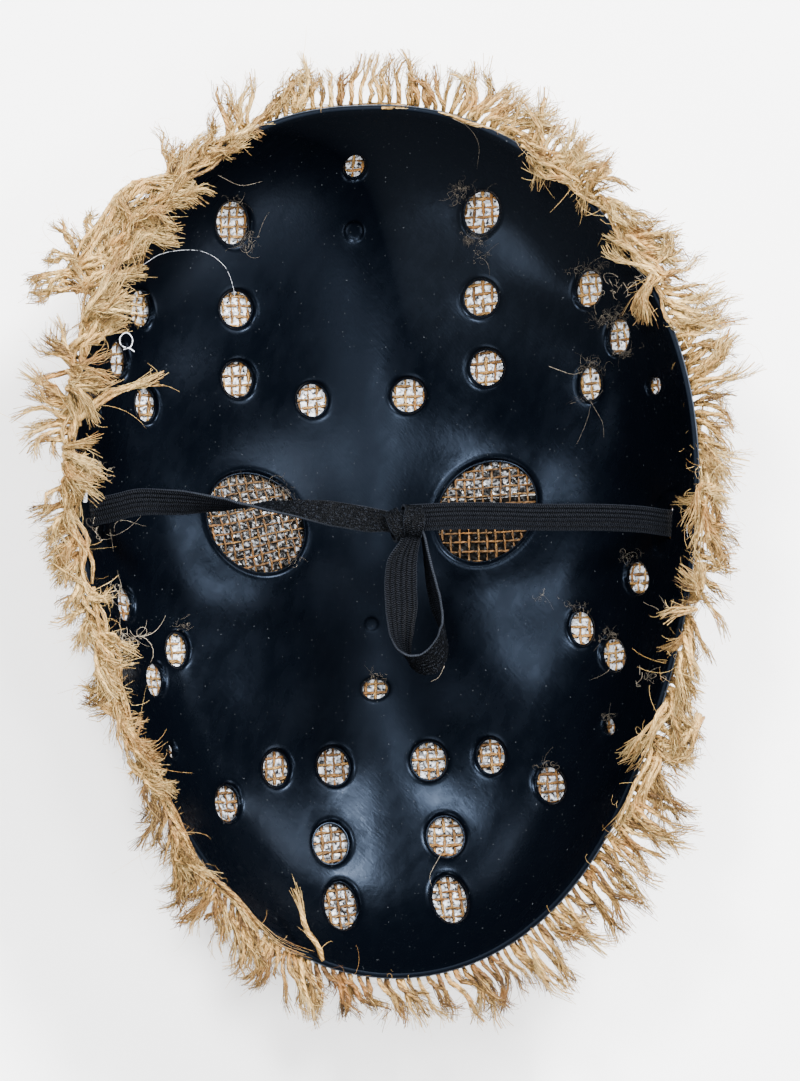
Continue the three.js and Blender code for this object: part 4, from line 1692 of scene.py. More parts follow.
    def strands(self) -> Strands:
        """The strands all round the edge."""
        random = seeded("strands")
        more = self.more_roots(random)
        loose = {name: np.concatenate([self.loose[name], more[name]]) for name in more}
        root, angle = loose["point"], loose["angle"]
        count = len(root)
        bearing = np.degrees(np.arctan2(root[:, 1] - self.form.bowl_y, root[:, 0])) % 360
        lie = self.lie(bearing)
        # Painted shade that darkens the strands towards the bottom of the mask.
        painted_shade = self.chin_shade * np.maximum(-np.sin(np.radians(bearing)), 0)
        place = bearing / 360 * 2 * math.pi * self.rim_radius
        clump = np.floor(place / self.clump_pitch).astype(int)
        clumps = clump.max() + 1
        shared = random.normal(0, 1, (clumps, 3))[clump]
        own = random.normal(0, 1, (count, 3))
        over = random.random(clumps)[clump] < lie["over"]
        by_clump, by_strand = self.flow_spread
        flow = np.where(over, lie["over_flow"], lie["flow"]) + self.view_roll
        flow = flow + lie["scatter"] * (by_clump * shared[:, 0] + by_strand * own[:, 0])
        by_clump, by_strand = self.reach_spread
        longer = np.clip(1 + by_clump * shared[:, 1] + by_strand * own[:, 1], *self.reach_range)
        reach = np.where(over, lie["over_reach"], lie["reach"]) * longer
        to_rim = np.maximum(self.form.rim(angle)[:, 2] - root[:, 2], 0.0)
        length = to_rim + reach * self.slack + np.where(over, self.over_length, 0.0)
        up = self.form.up_wall(angle, np.ones(count))
        rise = unit(up + self.start_along * loose["direction"] + self.start_up * UP)
        turn = np.radians(flow)
        by_clump, by_strand = self.lift_spread
        lift = np.where(over, self.over_lift, self.out_lift)
        lift = lift + by_clump * shared[:, 2] + by_strand * own[:, 2]
        by_clump, by_strand = np.radians(self.bend_spread)
        bend = by_strand * own[:, 2] + by_clump * shared[:, 2]
        share = np.linspace(0, 1, self.steps)
        paths = np.empty((count, self.steps, 3))
        paths[:, 0] = root
        held = (to_rim + np.where(over, self.over_rise, self.out_rise)) / length
        held = np.clip(held, *self.held_range)
        for k in range(1, self.steps):
            middle = (share[k] + share[k - 1]) / 2
            weight = smooth_step((middle - held * self.fold_from) / np.where(over, *self.fold))
            way = turn + bend * (middle - 0.5) * 2
            droop = lift - np.where(over, *self.droop) * middle
            flat = np.stack([np.cos(way), np.sin(way), droop], axis=-1)
            step = unit(rise * (1 - weight)[:, None] + unit(flat) * weight[:, None])
            paths[:, k] = paths[:, k - 1] + step * (length * (share[k] - share[k - 1]))[:, None]
        paths = self.waved(paths, held, random)
        opening = np.clip(random.normal(*self.opening, count), held * 0.8 + 0.05, 0.85)
        differs = self.tone_spread * shared[:, 2] + self.tone_spread * own[:, 1]
        return Strands(
            paths,
            self.yarn_thick * random.lognormal(0, self.thick_spread, count),
            np.exp(random.normal(*self.splay, count)),
            opening,
            loose["tone"] + self.tone + differs - painted_shade,
        )

    def waved(self, paths: Array, held: Array, random: Random) -> Array:
        """Strands with the crimp that weaving left in them.

        Args:
            paths: Their middle lines.
            held: The share of each that lies against the wall.
            random: The random numbers.

        Returns:
            The crimped lines.
        """
        share = np.linspace(0, 1, paths.shape[1])
        free = smooth_step((share - held[:, None]) / 0.4)
        aside = unit(np.cross(np.gradient(paths, axis=1), UP))
        each = (len(paths), 1)
        phase = random.uniform(0, 2 * math.pi, each)
        along = 2 * math.pi * random.uniform(*self.wave_cycles, each) * share
        size = self.waviness * random.lognormal(0, self.wave_spread, each) * free
        sway = size * np.sin(along + phase)
        heave = 0.7 * size * np.cos(along + 1.7 * phase)
        return paths + aside * sway[..., None] + heave[..., None] * UP

    def along_rim(self, random: Random) -> Strands:
        """The yarns that lie along the rim.

        Args:
            random: The random numbers.

        Returns:
            Them, as strands.
        """
        share = np.linspace(0, 1, self.runner_points)
        paths = []
        for runner in self.runners:
            pieces = max(1, round((runner.last - runner.first) / self.runner_span))
            ends = np.linspace(runner.first, runner.last, pieces + 1)
            rows = [(row, ends[k], ends[k + 1]) for row in range(runner.count) for k in range(pieces)]
            for row, first, last in rows:
                first, last = first - self.runner_lap, last + self.runner_lap
                way = first + (last - first) * share + random.normal(0, self.runner_shift)
                way = way[::-1] if random.random() < 0.5 else way
                rim = self.form.rim(self.form.at_bearing(way))
                outward = unit(rim * [1, 1, 0] - [0, self.form.bowl_y, 0])
                cycle, phase = random.uniform(*self.runner_cycles, 4), random.uniform(0, 6.3, 4)
                swing = np.sin(2 * math.pi * cycle[:, None] * share + phase[:, None])
                flick = random.normal(0, self.flick, 2)[:, None] * smooth_step((share - 0.72) / 0.5)
                aside = runner.offset + row * self.runner_gap
                aside = aside + runner.wave * (swing[0] + 0.5 * swing[1]) + flick[0] + 1.5 * share**4
                over = runner.lift + runner.wave * (0.7 * swing[2] + 0.4 * swing[3]) + 0.5 * flick[1]
                over = np.where(aside < 1.0, np.maximum(over, self.runner_over), over)
                paths.append(rim + outward * aside[:, None] + over[:, None] * UP)
        count = len(paths)
        tone, differs = self.runner_tone
        return Strands(
            np.array(paths),
            self.yarn_thick * random.lognormal(self.runner_thin, self.thick_spread, count),
            np.exp(random.normal(*self.runner_splay, count)),
            random.uniform(*self.runner_opening, count),
            tone + random.normal(0, differs, count),
            self.runner_fibres,
            self.runner_fibre_points,
        )

    def rim_height(self, x: Array, y: Array) -> Array:
        """The height of the rim at the bearing of places."""
        return self.form.rim(self.form.locate(x, y)[0])[..., 2]

    def bundle(self, tuft: Tuft, random: Random) -> Strands:
        """The strands of one tuft.

        Args:
            tuft: The tuft.
            random: The random numbers.

        Returns:
            Its strands, the first points under the rim's cloth.
        """
        share = np.linspace(0, 1, self.steps)
        line = resample(np.array([(*place, 0.0) for place in tuft.line]), share)
        height = self.rim_height(line[:, 0], line[:, 1])
        rise = tuft.lift * np.sin(math.pi * np.clip(share + 0.12, 0, 1)) - tuft.sag * share**2
        line[:, 2] = height + rise + self.tuft_rise - self.root_drop * (1 - smooth_step(share / 0.24))
        sideways = unit(np.cross(np.gradient(line, axis=0), UP))
        place = (np.arange(tuft.strands) + 0.5) / tuft.strands - 0.5
        place = place + random.normal(0, 0.1, tuft.strands)
        fan = tuft.wide * place[:, None] * (0.75 + 0.5 * share)
        each = (tuft.strands, 1)
        waver = random.normal(0, self.tuft_stray, each) * np.sin(4 * share + tuft.strands)
        cut = random.uniform(*self.tuft_cut, each)
        paths = line[None] + sideways[None] * (fan + waver)[..., None]
        paths[..., 2] += random.normal(0, self.tuft_stray, each)
        middle = paths[:, :1]
        paths = middle + (paths - middle) * (1 - (1 - cut[..., None]) * share[None, :, None])
        tone, differs = self.tuft_tone
        return Strands(
            self.waved(paths, np.zeros(tuft.strands), random),
            tuft.thick * random.lognormal(0, self.tuft_thick_spread, tuft.strands),
            np.full(tuft.strands, tuft.splay),
            random.uniform(*self.tuft_opening, tuft.strands),
            tone + random.normal(0, differs, tuft.strands),
        )

    def build(self) -> tuple[list[Piece], Strands]:
        """Makes the fringe and the tufts over the rim, in four quarters.

        Returns:
            Its objects, and all its strands.
        """
        random = seeded("tufts")
        tufts = [self.bundle(tuft, random) for tuft in self.tufts]
        strands = Strands.joined([self.strands(), *tufts])
        runners = self.along_rim(random)
        material = Jute("frayed_jute").material()
        made = []
        for is_upper, is_left in itertools.product((True, False), repeat=2):
            name = f"frayed_edge_{'upper' if is_upper else 'lower'}_{'left' if is_left else 'right'}"
            parts = MeshParts()
            for group in (strands, runners):
                place = group.path[:, 0]
                which = ((place[:, 0] < 0) == is_left) & ((place[:, 1] > self.form.bowl_y) == is_upper)
                chosen = group.chosen(which)
                chosen.cores(parts)
                chosen.brushes(parts, self.fibre_radius, seeded(name))
            piece = parts.build(name, material)
            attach(piece, "root")
            made.append(piece)
        return made, strands


@dataclass(frozen=True)
class Nest:
    """Loose curly fibres: place, spread, number, length, tone, and thickness as a share."""

    x: float
    y: float
    spread: float
    count: int
    length: float = 5.0
    tone: float = 0.2
    stout: float = 1.0


@dataclass
class LooseHairs:
    """Fine hairs that stand off the frayed edge, and nests of them by the holes."""

    form: FaceForm
    strands: Strands
    nests: tuple[Nest, ...] = (
        Nest(33, 108.5, 2.6, 24), Nest(36, 93.5, 2.4, 22), Nest(39, 88, 2.0, 8),
        Nest(-35, 96, 2.2, 18, 6), Nest(-39, 107.5, 2.0, 8, 4), Nest(70, 80.5, 2.6, 24),
        Nest(76, 65, 3.0, 34), Nest(80, 54, 2.2, 14, 4), Nest(70, 50.5, 2.6, 24),
        Nest(68, 40, 1.6, 8, 3), Nest(79, -10, 2.0, 12, 4), Nest(64, -24.5, 2.2, 14, 4),
        Nest(71, -34, 2.2, 14, 4), Nest(68, -60, 1.4, 8, 3), Nest(50, -74, 2.0, 10, 4),
        Nest(-42, 19.5, 2.2, 12, 4), Nest(-34, 19, 2.6, 20, 5),
        Nest(-27, 16.5, 2.0, 18, 4), Nest(-23, 12.5, 1.6, 10, 4),
        Nest(-24, -4.5, 1.4, 5, 4, 0.6), Nest(52.5, -20.5, 1.8, 5, 4, 0.6),
        Nest(0, -43, 2.0, 10, 4, 0.4), Nest(-82, -28, 4.0, 13, 14, 0.9, 2.2),
        Nest(-85, -14, 2.4, 6, 9, 0.9, 2.0), Nest(-62, -24, 2.0, 8, 4),
        Nest(79, 74, 3.2, 9, 8, 0.9, 1.7), Nest(87, -28, 2.0, 6, 7, 0.9, 1.7),
        Nest(80, -48, 2.0, 5, 7, 0.9, 1.7), Nest(-88, 24, 3.0, 7, 8, 0.9, 1.7),
        Nest(-88, 6, 3.4, 7, 7, 0.9, 1.7),
    )
    # Single fibres that lie on the shell and the strap, as points along each.
    strays: tuple[tuple[Point, ...], ...] = (
        ((69.7, 39.6, 30.6), (71.4, 36.3, 30.9), (73.1, 32.5, 31.0), (73.3, 28.1, 30.4)),
        ((18.3, -96.5, 18.8), (14.3, -102.2, 20.2), (11.7, -106.4, 21.7), (11.9, -109.5, 23.3)),
        ((27.6, 128.2, 51.0), (33.1, 125.4, 48.5), (36.8, 120.3, 43.4), (37.0, 113.8, 35.0)),
        ((-44.9, 114.3, 42.7), (-37.3, 112.0, 33.1), (-30.0, 113.3, 29.8)),
        ((57.8, 51.6, 26.4), (61.3, 50.0, 27.0), (65.0, 48.6, 28.0), (68.0, 49.2, 29.0)),
        ((73.5, -40.4, 37.8), (69.4, -45.5, 34.0), (64.9, -47.7, 29.8)),
        ((16.7, -40.8, 45.5), (14.8, -44.1, 45.0), (12.3, -45.5, 44.0)),
    )
    stray_radius: float = 0.07
    # The dark, middle and light colours of the dusty nests.
    dusty: tuple[Colour, Colour, Colour] = (
        (0.045, 0.038, 0.030), (0.20, 0.165, 0.12), (0.52, 0.44, 0.33),
    )
    relief: float = 0.00002
    radius: float = 0.05
    nest_radius: float = 0.028
    steps: int = 7
    nest_steps: int = 11
    crowding: float = 2.0
    edge_hairs: int = 3650
    # A hair's length, and how its directions and curl spread.
    length: float = 5.8
    length_spread: float = 0.45
    astray: float = 0.85
    spread: Point = (1, 1, 0.45)
    curl: float = 4.2
    # How much paler the edge's hairs are than their strands, and the strays' tone.
    paler: float = 0.25
    stray_tone: float = 0.6
    # A nest's shape across and along, its curl, how deep it starts in the wall, and its tone.
    nest_shape: Pair = (0.85, 0.5)
    nest_curl: float = 7.0
    nest_depth: Pair = (-1.2, -0.1)
    nest_tone: Pair = (-0.1, 0.25)
    # How hairs' radii differ, and how much thinner a hair's tip is.
    radius_spread: float = 0.25
    thinner: float = 0.5
    clearance: float = 0.12
    lowest: float = 0.4
    # No hair stands higher than this.
    ceiling: float = 76.0

    def build(self) -> list[Piece]:
        """Makes the hairs of the edge as one piece, and the nests as another.

        Returns:
            Their objects.
        """
        random = seeded("hairs")
        parts = MeshParts()
        path = self.strands.path
        which = random.integers(0, len(path), self.edge_hairs)
        place = random.integers(2, path.shape[1] - 1, self.edge_hairs)
        start = path[which, place]
        tangent = unit(path[which, place + 1] - start)
        heading = unit(tangent + random.normal(0, self.astray, tangent.shape) * self.spread)
        length = self.length * random.lognormal(0, self.length_spread, self.edge_hairs)
        curl = random.normal(0, self.curl, self.edge_hairs)
        hairs = wander(start, heading, length, self.steps, curl, random)
        hairs[..., 2] = np.clip(hairs[..., 2], self.lowest, self.ceiling)
        self.add(parts, hairs, self.strands.tone[which] + self.paler, self.radius, random)
        finish = Jute("edge_hair_jute", relief=self.relief)
        edge = parts.build("edge_hairs", finish.material())
        parts = MeshParts()
        for nest in self.nests:
            count = round(nest.count * self.crowding)
            x = nest.x + random.normal(0, nest.spread * self.nest_shape[0], count)
            y = nest.y + random.normal(0, nest.spread * self.nest_shape[1], count)
            angle, out = self.form.locate(x, y)
            normal = self.form.outward(angle, out)
            start = self.form.wall(angle, out, random.uniform(*self.nest_depth, count))
            heading = random.normal(0, 1, (count, 3))
            heading = unit(heading - (heading * normal).sum(-1, keepdims=True) * normal * 0.9)
            length = nest.length * random.lognormal(-0.3, self.length_spread, count)
            curl = random.normal(0, self.nest_curl, count)
            hairs = wander(start, heading, length, self.nest_steps, curl, random)
            tone = nest.tone + random.normal(*self.nest_tone, count)
            self.add(parts, self.lifted(hairs), tone, self.nest_radius * nest.stout, random)
        share = np.linspace(0, 1, self.nest_steps)
        for points in self.strays:
            hair = self.lifted(resample(np.array(points), share)[None])
            self.add(parts, hair, np.array([self.stray_tone]), self.stray_radius, random)
        dark, middle, light = self.dusty
        dusty = Jute("dusty_fibre", dark, middle, light, middle, relief=self.relief)
        nests = parts.build("fibre_nests", dusty.material())
        for piece in (edge, nests):
            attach(piece, "root")
        return [edge, nests]

    def lifted(self, paths: Array) -> Array:
        """The paths, kept clear of the shell on the wearer's side."""
        angle, out = self.form.locate(paths[..., 0], paths[..., 1])
        floor = self.form.inner(angle, np.minimum(out, 1.0))[..., 2] + self.clearance
        paths = paths.copy()
        paths[..., 2] = np.where(out < 1, np.maximum(paths[..., 2], floor), paths[..., 2])
        paths[..., 2] = np.minimum(paths[..., 2], self.ceiling)
        return paths

    def add(
        self, parts: MeshParts, paths: Array, tone: Array, radius: float, random: Random
    ) -> None:
        """Adds hairs to the mesh, each a little thinner to its tip.

        Args:
            parts: The mesh.
            paths: Their middle lines.
            tone: The tone of each.
            radius: Their mean radius at the root.
            random: The random numbers.
        """
        share = np.linspace(0, 1, paths.shape[1])
        size = radius * random.lognormal(0, self.radius_spread, (len(paths), 1))
        sweep_fibres(parts, paths, size * (1 - self.thinner * share**2), tone)


@dataclass
class GlueFilm:
    """Crumpled dried glue that fills the squares of the weave behind the holes."""

    form: FaceForm
    openings: Openings
    lift: float = 3.1
    thick: float = 0.07
    # The size of its facets, how uneven that is as a share, and how deep they are crumpled.
    cell: float = 0.74
    jitter: float = 0.3
    crumple: float = 0.17
    edge: float = 1.2
    # Below this height over its middle the right eye's film is a black sheet of painted shadow.
    shadow_below: float = 4.5
    # The eyes' film is darker: tones below 0 show the black of the painted shadow.
    eye_tone: Pair = (-0.55, 0.42)
    thread_points: int = 25
    # Strings of glue on the wearer's side: radius, and points along each; the last, a thin white
    # streak on the right rim, is partly a painted glint and partly faint whitish hairs.
    threads: tuple[tuple[float, tuple[Point, ...]], ...] = (
        (
            0.15,
            (
                (-75.2, 59.6, 62.0), (-76.6, 60.6, 62.4), (-79.1, 61.6, 62.8), (-79.4, 64.0, 62.9),
                (-77.3, 65.5, 62.6), (-75.6, 63.6, 62.2), (-76.2, 61.2, 62.0), (-78.4, 60.4, 61.6),
            ),
        ),
        (
            0.028,
            (
                (-71.4, 85.9, 58.4), (-64.1, 89.7, 57.0), (-53.0, 90.0, 55.5), (-45.8, 85.1, 55.3),
                (-43.3, 77.2, 56.3), (-43.6, 73.5, 55.8),
            ),
        ),
        (0.7, ((-92.9, 14.6, 66.0), (-92.7, 16.2, 66.5), (-92.5, 18.2, 66.4), (-92.6, 19.8, 65.8))),
        (0.06, ((91.3, -1.6, 66.4), (91.0, -3.2, 66.9), (91.2, -5.6, 66.5))),
    )
    vent_tone: Pair = (0.25, 1.1)
    # The film behind the vents of the chin is darker.
    chin_tone: Pair = (-0.15, 0.85)
    chin_below: float = -40.0

    def tone_range(self, vent: Vent) -> Pair:
        """The lowest and highest tone of the film behind a hole."""
        if vent.is_eye:
            return self.eye_tone
        return self.chin_tone if vent.y < self.chin_below else self.vent_tone

    def patch(
        self,
        parts: MeshParts,
        vent: Vent,
        random: Random,
        low: float = -math.inf,
        high: float = math.inf,
    ) -> None:
        """Adds the film behind one hole.

        Args:
            parts: The mesh.
            vent: The hole.
            random: The random numbers.
            low: The film's lower end, over the hole's middle.
            high: Its upper end, over the hole's middle.
        """
        half_x, half_y = vent.wide / 2 + self.edge, vent.high / 2 + self.edge
        across = np.arange(-half_x, half_x, self.cell)
        along = np.arange(-half_y, half_y, self.cell)
        x, y = (grid.ravel() for grid in np.meshgrid(across, along))
        x = x + random.uniform(-self.jitter, self.jitter, x.shape) * self.cell
        y = y + random.uniform(-self.jitter, self.jitter, y.shape) * self.cell
        kept = np.hypot(x / half_x, y / half_y) < 1
        x, y = vent.placed(x[kept], y[kept])
        kept = (y - vent.y > low) & (y - vent.y <= high)
        x, y = x[kept], y[kept]
        tone = random.uniform(*self.tone_range(vent), len(x))
        # The lower right eye's sheet gets tone 0, the black of the painted shadow.
        tone = tone if math.isinf(high) else np.zeros(len(x))
        made = delaunay_2d_cdt(list(zip(x.tolist(), y.tolist())), [], [], 0, 1e-5)
        corners = np.array(made[2])
        angle, out = self.form.locate(x, y)
        depth = self.lift + random.normal(0, self.crumple, len(x))
        count = len(x)
        near, far = self.form.wall(angle, out, depth), self.form.wall(angle, out, depth + self.thick)
        sides = np.concatenate([corners[:, [0, 1]], corners[:, [1, 2]], corners[:, [2, 0]]])
        code = sides[:, 0] * count + sides[:, 1]
        border = sides[~np.isin(code, sides[:, 1] * count + sides[:, 0])]
        wall = np.stack([border[:, 1], border[:, 0], border[:, 0] + count, border[:, 1] + count], -1)
        faces = [corners, corners[:, ::-1] + count, wall]
        parts.add(np.concatenate([near, far]), faces, np.concatenate([tone, tone]))

    def build(self) -> list[Piece]:
        """Makes the whitish film as one piece, and a black sheet of painted shadow in the lower right
        eye as another.

        Returns:
            Their objects.
        """
        random = seeded("film")
        parts, clear = MeshParts(), MeshParts()
        for vent in self.openings.holes():
            if vent.is_eye and vent.x > 0:
                self.patch(parts, vent, random, low=self.shadow_below)
                # The black sheet of painted shadow.
                self.patch(clear, vent, random, high=self.shadow_below)
            else:
                self.patch(parts, vent, random)
        share = np.linspace(0, 1, self.thread_points)
        for radius, points in self.threads:
            path = resample(np.array(points), share)[None]
            sweep_fibres(parts, path, np.full((1, len(share)), radius), np.array([1.0]), 6)
        films = [
            parts.build("glue_film", DriedGlue().material()),
            clear.build("painted_shadow_film", DriedGlue("painted_shadow_sheet", shine=0.03).material()),
        ]
        for film in films:
            film.data.shade_flat()
            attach(film, "root")
        return films


@dataclass
class ElasticStrap:
    """The flat elastic from slot to slot, with its half twist, its knot and the loop below it."""

    form: FaceForm
    wide: float = 8.4
    thick: float = 0.85
    ribs: int = 6
    rib_depth: float = 0.24
    bead: float = 0.58
    rib_points: int = 4
    spacing: float = 0.9
    height: float = 51.0
    sag: float = 1.5
    twist: Pair = (-72.0, -12.0)
    left: tuple[Pair, ...] = (
        (-82, 13.2), (-75, 14.3), (-63, 13.6), (-50.6, 12.5), (-43.6, 11.7), (-32.2, 10.6), (-17, 8.0),
        (-6, 5.7), (0.4, 4.7), (4.5, 4.0), (8, 3.8),
    )
    right: tuple[Pair, ...] = (
        (7.5, 5.3), (12.4, 5.3), (24, 5.2), (35.8, 4.5), (48.2, 3.5), (67, 2.5), (79.5, 1.3),
    )
    pinch: tuple[Pair, ...] = ((-20, 1.0), (-5, 0.96), (0.4, 0.8), (8, 0.7))
    loop_near: tuple[Point, ...] = (
        (6.2, 3.0, 51.0), (4.3, -1.4, 50.8), (0.1, -7.5, 49.5), (-1.1, -14.5, 49.0),
        (-1.2, -22.7, 49.0), (-0.5, -29.3, 48.5), (1.3, -34.0, 48.8), (4.5, -36.6, 49.0),
        (8.4, -36.9, 49.0), (11.1, -35.5, 49.0), (13.9, -32.4, 49.0), (15.4, -29.2, 49.0),
        (16.3, -26.7, 49.0), (16.4, -23.2, 49.0), (16.0, -18.9, 49.0), (15.0, -14.5, 49.0),
        (13.8, -9.2, 49.2), (12.8, -4.4, 49.8), (12.0, -0.3, 50.2), (10.5, 3.0, 50.0),
    )
    loop_far: tuple[Point, ...] = (
        (11.2, 3.4, 50.2), (11.0, -0.4, 50.4), (9.9, -6.0, 49.2), (9.2, -14.6, 48.5),
        (9.2, -21.9, 47.0), (8.1, -29.0, 43.5), (7.0, -35.0, 40.6), (7.0, -39.8, 39.9),
        (9.0, -42.4, 41.2), (11.2, -43.2, 42.7), (14.6, -42.7, 44.2), (17.4, -39.3, 44.2),
        (18.3, -34.0, 42.6), (16.6, -28.9, 41.1), (14.4, -23.0, 40.8), (13.6, -15.9, 39.6),
        (13.3, -8.9, 39.4), (13.1, -3.7, 40.0), (12.4, -0.2, 42.0), (11.0, 3.0, 44.0),
    )

    # The strap's end outside the shell: how far below the slot, and how far out of the wall.
    tail_course: tuple[Pair, ...] = (
        (9.0, 2.75), (5.0, 2.75), (2.4, 2.75), (0.5, 2.3), (0.0, 1.0), (0.0, -1.2),
    )
    # The knot's turns: middle, half sizes along, across and in depth, and lean in degrees.
    rings: tuple[tuple[Point, Point, float], ...] = (
        ((8.6, 4.3, 50.0), (3.1, 4.7, 3.9), -5), ((3.6, 3.4, 49.6), (2.6, 4.5, 3.4), 24),
    )
    ring_degrees: float = 168.0
    ring_points: int = 29
    ring_crease: float = 0.12
    lump_centre: Point = (6.3, 4.0, 49.6)
    lump_size: Point = (5.4, 3.9, 3.0)

    @cached_property
    def section(self) -> Array:
        """The band's ribbed section: shares of its half width, and millimetres off its middle."""
        per_face = self.ribs * self.rib_points + 1
        flat = 1 - 2 * self.bead / self.wide
        across = np.linspace(-flat, flat, per_face)
        swell = np.abs(np.sin(np.arange(per_face) * math.pi / self.rib_points))
        face = self.thick / 2 - self.rib_depth + self.rib_depth * swell
        turn = np.linspace(-math.pi / 2, math.pi / 2, 7)[1:-1]
        bead_x = flat + (1 - flat) * np.cos(turn)
        bead_y = self.bead * np.sin(turn)
        lower = np.stack([across, -face], axis=-1)
        upper = np.stack([across[::-1], face], axis=-1)
        right = np.stack([bead_x, bead_y], axis=-1)
        left = np.stack([-bead_x, -bead_y], axis=-1)
        return np.concatenate([lower, right, upper, left])

    def band(self, parts: MeshParts, middle: Array, half: Array) -> None:
        """Adds a length of the band.

        Args:
            parts: The mesh.
            middle: Points of its middle line.
            half: At each, the vector from there to one edge.
        """
        share = np.linspace(0, 1, int(run_along(middle)[-1] / self.spacing) + 2)
        centre, across = resample(middle, share), resample_like(middle, half, share)
        upward = unit(np.cross(np.gradient(centre, axis=0), across))
        starts = np.zeros(len(centre), bool)
        starts[0] = True
        run = run_along(centre)
        sweep(parts, centre, across, upward, starts, self.section, 0.5, run)

    def level(self, course: Sequence[Pair]) -> Array:
        """Points of a course at the height at which the strap hangs there."""
        place = np.array(course)
        height = self.height - self.sag * (1 - (place[:, 0] / self.form.half_width) ** 2)
        return np.stack([place[:, 0], place[:, 1], height], axis=-1)

    def tail(self, slot: Slot) -> Array:
        """The strap's end outside the shell, from its tip to the slot and just inside it."""
        angle, out = slot.centre(self.form)
        per_out = slot.pitch(self.form)[1]
        drops, offsets = np.array(self.tail_course).T
        return self.form.wall(np.full(len(drops), angle), out - drops / per_out, offsets)

    def ring(self, parts: MeshParts, centre: Point, size: Point, lean: float) -> None:
        """Adds a turn of the band round the knot.

        Args:
            parts: The mesh.
            centre: Its middle.
            size: Half its width along the strap, half its height and half its depth.
            lean: Degrees that it is turned from square to the strap.
        """
        half_wide, half_high, half_deep = size
        turn = np.radians(np.linspace(-self.ring_degrees, self.ring_degrees, self.ring_points))
        lean = math.radians(lean)
        along = np.array([math.cos(lean), math.sin(lean), 0])
        aside = np.array([-math.sin(lean), math.cos(lean), 0])
        middle = (
            np.array(centre)
            + np.outer(np.sin(turn) * half_high, aside)
            + np.outer(np.cos(turn) * half_deep, UP)
        )
        narrow = half_wide * (1 + self.ring_crease * np.cos(3 * turn))
        self.band(parts, middle, narrow[:, None] * along)

    def build(self) -> Piece:
        """Makes the strap and lets it stand for its CAD node.

        Returns:
            Its object.
        """
        parts = MeshParts()
        upright = np.array([0.0, 1.0, 0.0])
        course = self.level(self.left)
        begin, end = self.twist
        turn = math.pi * np.clip((course[:, 0] - begin) / (end - begin), 0, 1)
        pinch_x, pinch_share = zip(*self.pinch)
        narrow = np.interp(course[:, 0], pinch_x, pinch_share) * self.wide / 2
        turned = np.stack([0 * turn, np.cos(turn), np.sin(turn)], axis=-1) * narrow[:, None]
        tail = self.tail(SLOTS[0])
        held = np.tile(upright * self.wide / 2, (len(tail), 1))
        self.band(parts, np.concatenate([tail, course]), np.concatenate([held, turned]))
        course = self.level(self.right)
        tail = self.tail(SLOTS[1])[::-1]
        middle = np.concatenate([course, tail])
        self.band(parts, middle, np.tile(upright * self.wide / 2, (len(middle), 1)))
        near, far = np.array(self.loop_near), np.array(self.loop_far)
        self.band(parts, (near + far) / 2, (far - near) / 2)
        for centre, size, lean in self.rings:
            self.ring(parts, centre, size, lean)
        self.lump(parts)
        strap = parts.build("elastic_band", Elastic().material())
        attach(strap, "root")
        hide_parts("elastic_strap")
        return strap

    def lump(self, parts: MeshParts) -> None:
        """Adds the knot's filled middle."""
        turn = np.linspace(-math.pi / 2, math.pi / 2, 9)
        half_long, half_high, half_deep = self.lump_size
        centre = np.array(self.lump_centre) + np.outer(np.sin(turn) * half_long, [1, 0, 0])
        size = np.maximum(np.cos(turn), 0.08)[:, None]
        starts = np.arange(len(turn)) == 0
        across, upward = size * [0.0, half_high, 0.0], size * [0.0, 0.0, half_deep]
        sweep(parts, centre, across, upward, starts, circle(14), 0.5, run_along(centre))


def resample_like(points: Array, values: Array, share: Array) -> Array:
    """Values that go with the points of a line, read at shares of the line's length.

    Args:
        points: The points, one in a row.
        values: The values, one row for each point.
        share: Shares of the length.

    Returns:
        A row for each share.
    """
    chord = run_along(points)
    at = np.interp(share * chord[-1], chord, np.arange(len(points)))
    low = np.clip(at.astype(int), 0, len(points) - 2)
    part = smooth_step(at - low) * 0.4 + (at - low) * 0.6
    return values[low] * (1 - part)[:, None] + values[low + 1] * part[:, None]


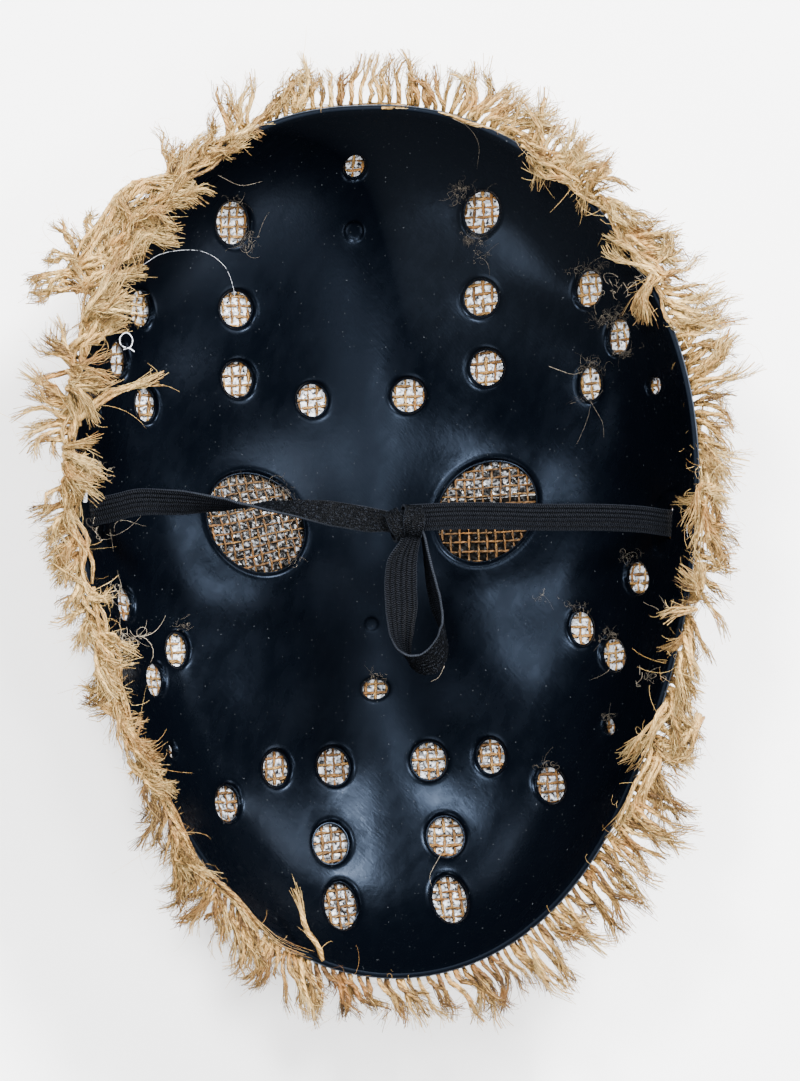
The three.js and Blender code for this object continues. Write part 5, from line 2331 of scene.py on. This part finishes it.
@dataclass
class Studio:
    """The camera over the mask, the pale floor and soft lights."""

    distance: float = 1404.24
    swing: float = 0.12547
    nod: float = -0.02818
    roll: float = 0.05457
    look_height: float = 39.1
    focal_pixels: float = 4524.74
    middle: Pair = (381.15, 537.67)
    image: tuple[int, int] = (800, 1081)
    sensor: float = 36.0
    floor_half: float = 6.0
    floor_colour: Colour = (0.94, 0.94, 0.945)
    floor_roughness: float = 0.8
    # How near and how far the camera sees, in metres.
    clip: Pair = (0.05, 50)
    room_colour: Colour = (0.80, 0.90, 1.0)
    room_strength: float = 0.04
    # The lamps' distance, and the height over the floor at which they aim, in metres.
    lamp_distance: float = 1.75
    lamp_target: float = 0.03
    # Name, lean towards +X and +Y in degrees from straight above, size in metres, and watts.
    lamps: tuple[tuple[str, float, float, float, float], ...] = (
        ("upper_left_softbox", -46, 50, 0.7, 17),
        ("lower_left_softbox", -43, -34, 0.85, 34),
        ("lower_right_softbox", 52, -38, 0.8, 44),
        ("upper_right_softbox", 52, 32, 0.66, 26),
        ("left_lamp", -17, 27, 0.3, 58),
        ("right_lamp", 25, 38, 0.38, 116),
        ("left_cheek_lamp", -9, 2, 0.4, 23),
        ("right_cheek_lamp", 17, -9, 0.34, 18),
    )

    def turned(self) -> Array:
        """The camera's right, up and back directions, one in a row."""
        return rotation(2, self.roll) @ rotation(0, self.nod) @ rotation(1, self.swing)

    @staticmethod
    def hang(name: str, data: bpy.types.ID, axes: Array, place: Array) -> Piece:
        """Puts a camera or a light in the scene.

        Args:
            name: Its name.
            data: The camera or light.
            axes: Its right, up and back directions, one in a row.
            place: Where it is, in metres.

        Returns:
            Its object.
        """
        matrix = np.eye(4)
        matrix[:3, :3] = axes.T
        matrix[:3, 3] = place
        made = bpy.data.objects.new(name, data)
        made.matrix_world = Matrix(matrix)
        bpy.context.scene.collection.objects.link(made)
        return made

    def camera(self) -> None:
        """Sets the camera at the photograph's view."""
        axes = self.turned()
        place = self.look_height * UP + axes[2] * self.distance
        lens = bpy.data.cameras.new("camera")
        wide, high = self.image
        lens.sensor_width = self.sensor
        lens.lens = self.focal_pixels / high * self.sensor
        lens.shift_x = (wide / 2 - self.middle[0]) / high
        lens.shift_y = (self.middle[1] - high / 2) / high
        lens.clip_start, lens.clip_end = self.clip
        bpy.context.scene.camera = self.hang("camera", lens, axes, place * MM)

    def floor(self) -> None:
        """Lays the pale floor."""
        half = self.floor_half / MM
        parts = MeshParts()
        corners = np.array([[-half, -half, 0], [half, -half, 0], [half, half, 0], [-half, half, 0]])
        parts.add(corners, [np.array([[0, 1, 2, 3]])])
        colour = (*self.floor_colour, 1)
        tree = NodeTree.start("pale_floor", Base_Color=colour, Roughness=self.floor_roughness)
        floor = parts.build("floor", tree.material)

    def lights(self) -> None:
        """Hangs the lights, which face the mask, and sets the room's own dim light."""
        for name, lean_x, lean_y, size, watts in self.lamps:
            lean = math.radians(math.hypot(lean_x, lean_y))
            turn = math.atan2(lean_y, lean_x)
            aim = (math.sin(lean) * math.cos(turn), math.sin(lean) * math.sin(turn), math.cos(lean))
            place = np.array([self.lamp_distance * part for part in aim])
            lamp = bpy.data.lights.new(name, "AREA")
            lamp.shape = "RECTANGLE"
            lamp.size = lamp.size_y = size
            lamp.energy = watts
            back = unit(place - self.lamp_target * UP)
            right = unit(np.cross([0.0, 1.0, 0.0], back))
            self.hang(name, lamp, np.stack([right, np.cross(back, right), back]), place)
        world = bpy.data.worlds.new("room")
        world.use_nodes = True
        background = world.node_tree.nodes["Background"]
        background.inputs["Color"].default_value = (*self.room_colour, 1)
        background.inputs["Strength"].default_value = self.room_strength
        bpy.context.scene.world = world


def main() -> None:
    """Builds the studio and the mask, piece by piece."""
    logging.basicConfig(level=logging.INFO, format="%(name)s: %(message)s")
    studio = Studio()
    studio.camera()
    studio.floor()
    studio.lights()
    form = FaceForm()
    openings = Openings()
    Shell(form, openings).build()
    cloth, loose = Weave(form, vents=openings.holes()[:-2]).build()
    fringe, strands = FrayedEdge(form, loose).build()
    LooseHairs(form, strands).build()
    GlueFilm(form, openings).build()
    ElasticStrap(form).build()


if __name__ == "__main__":
    main()
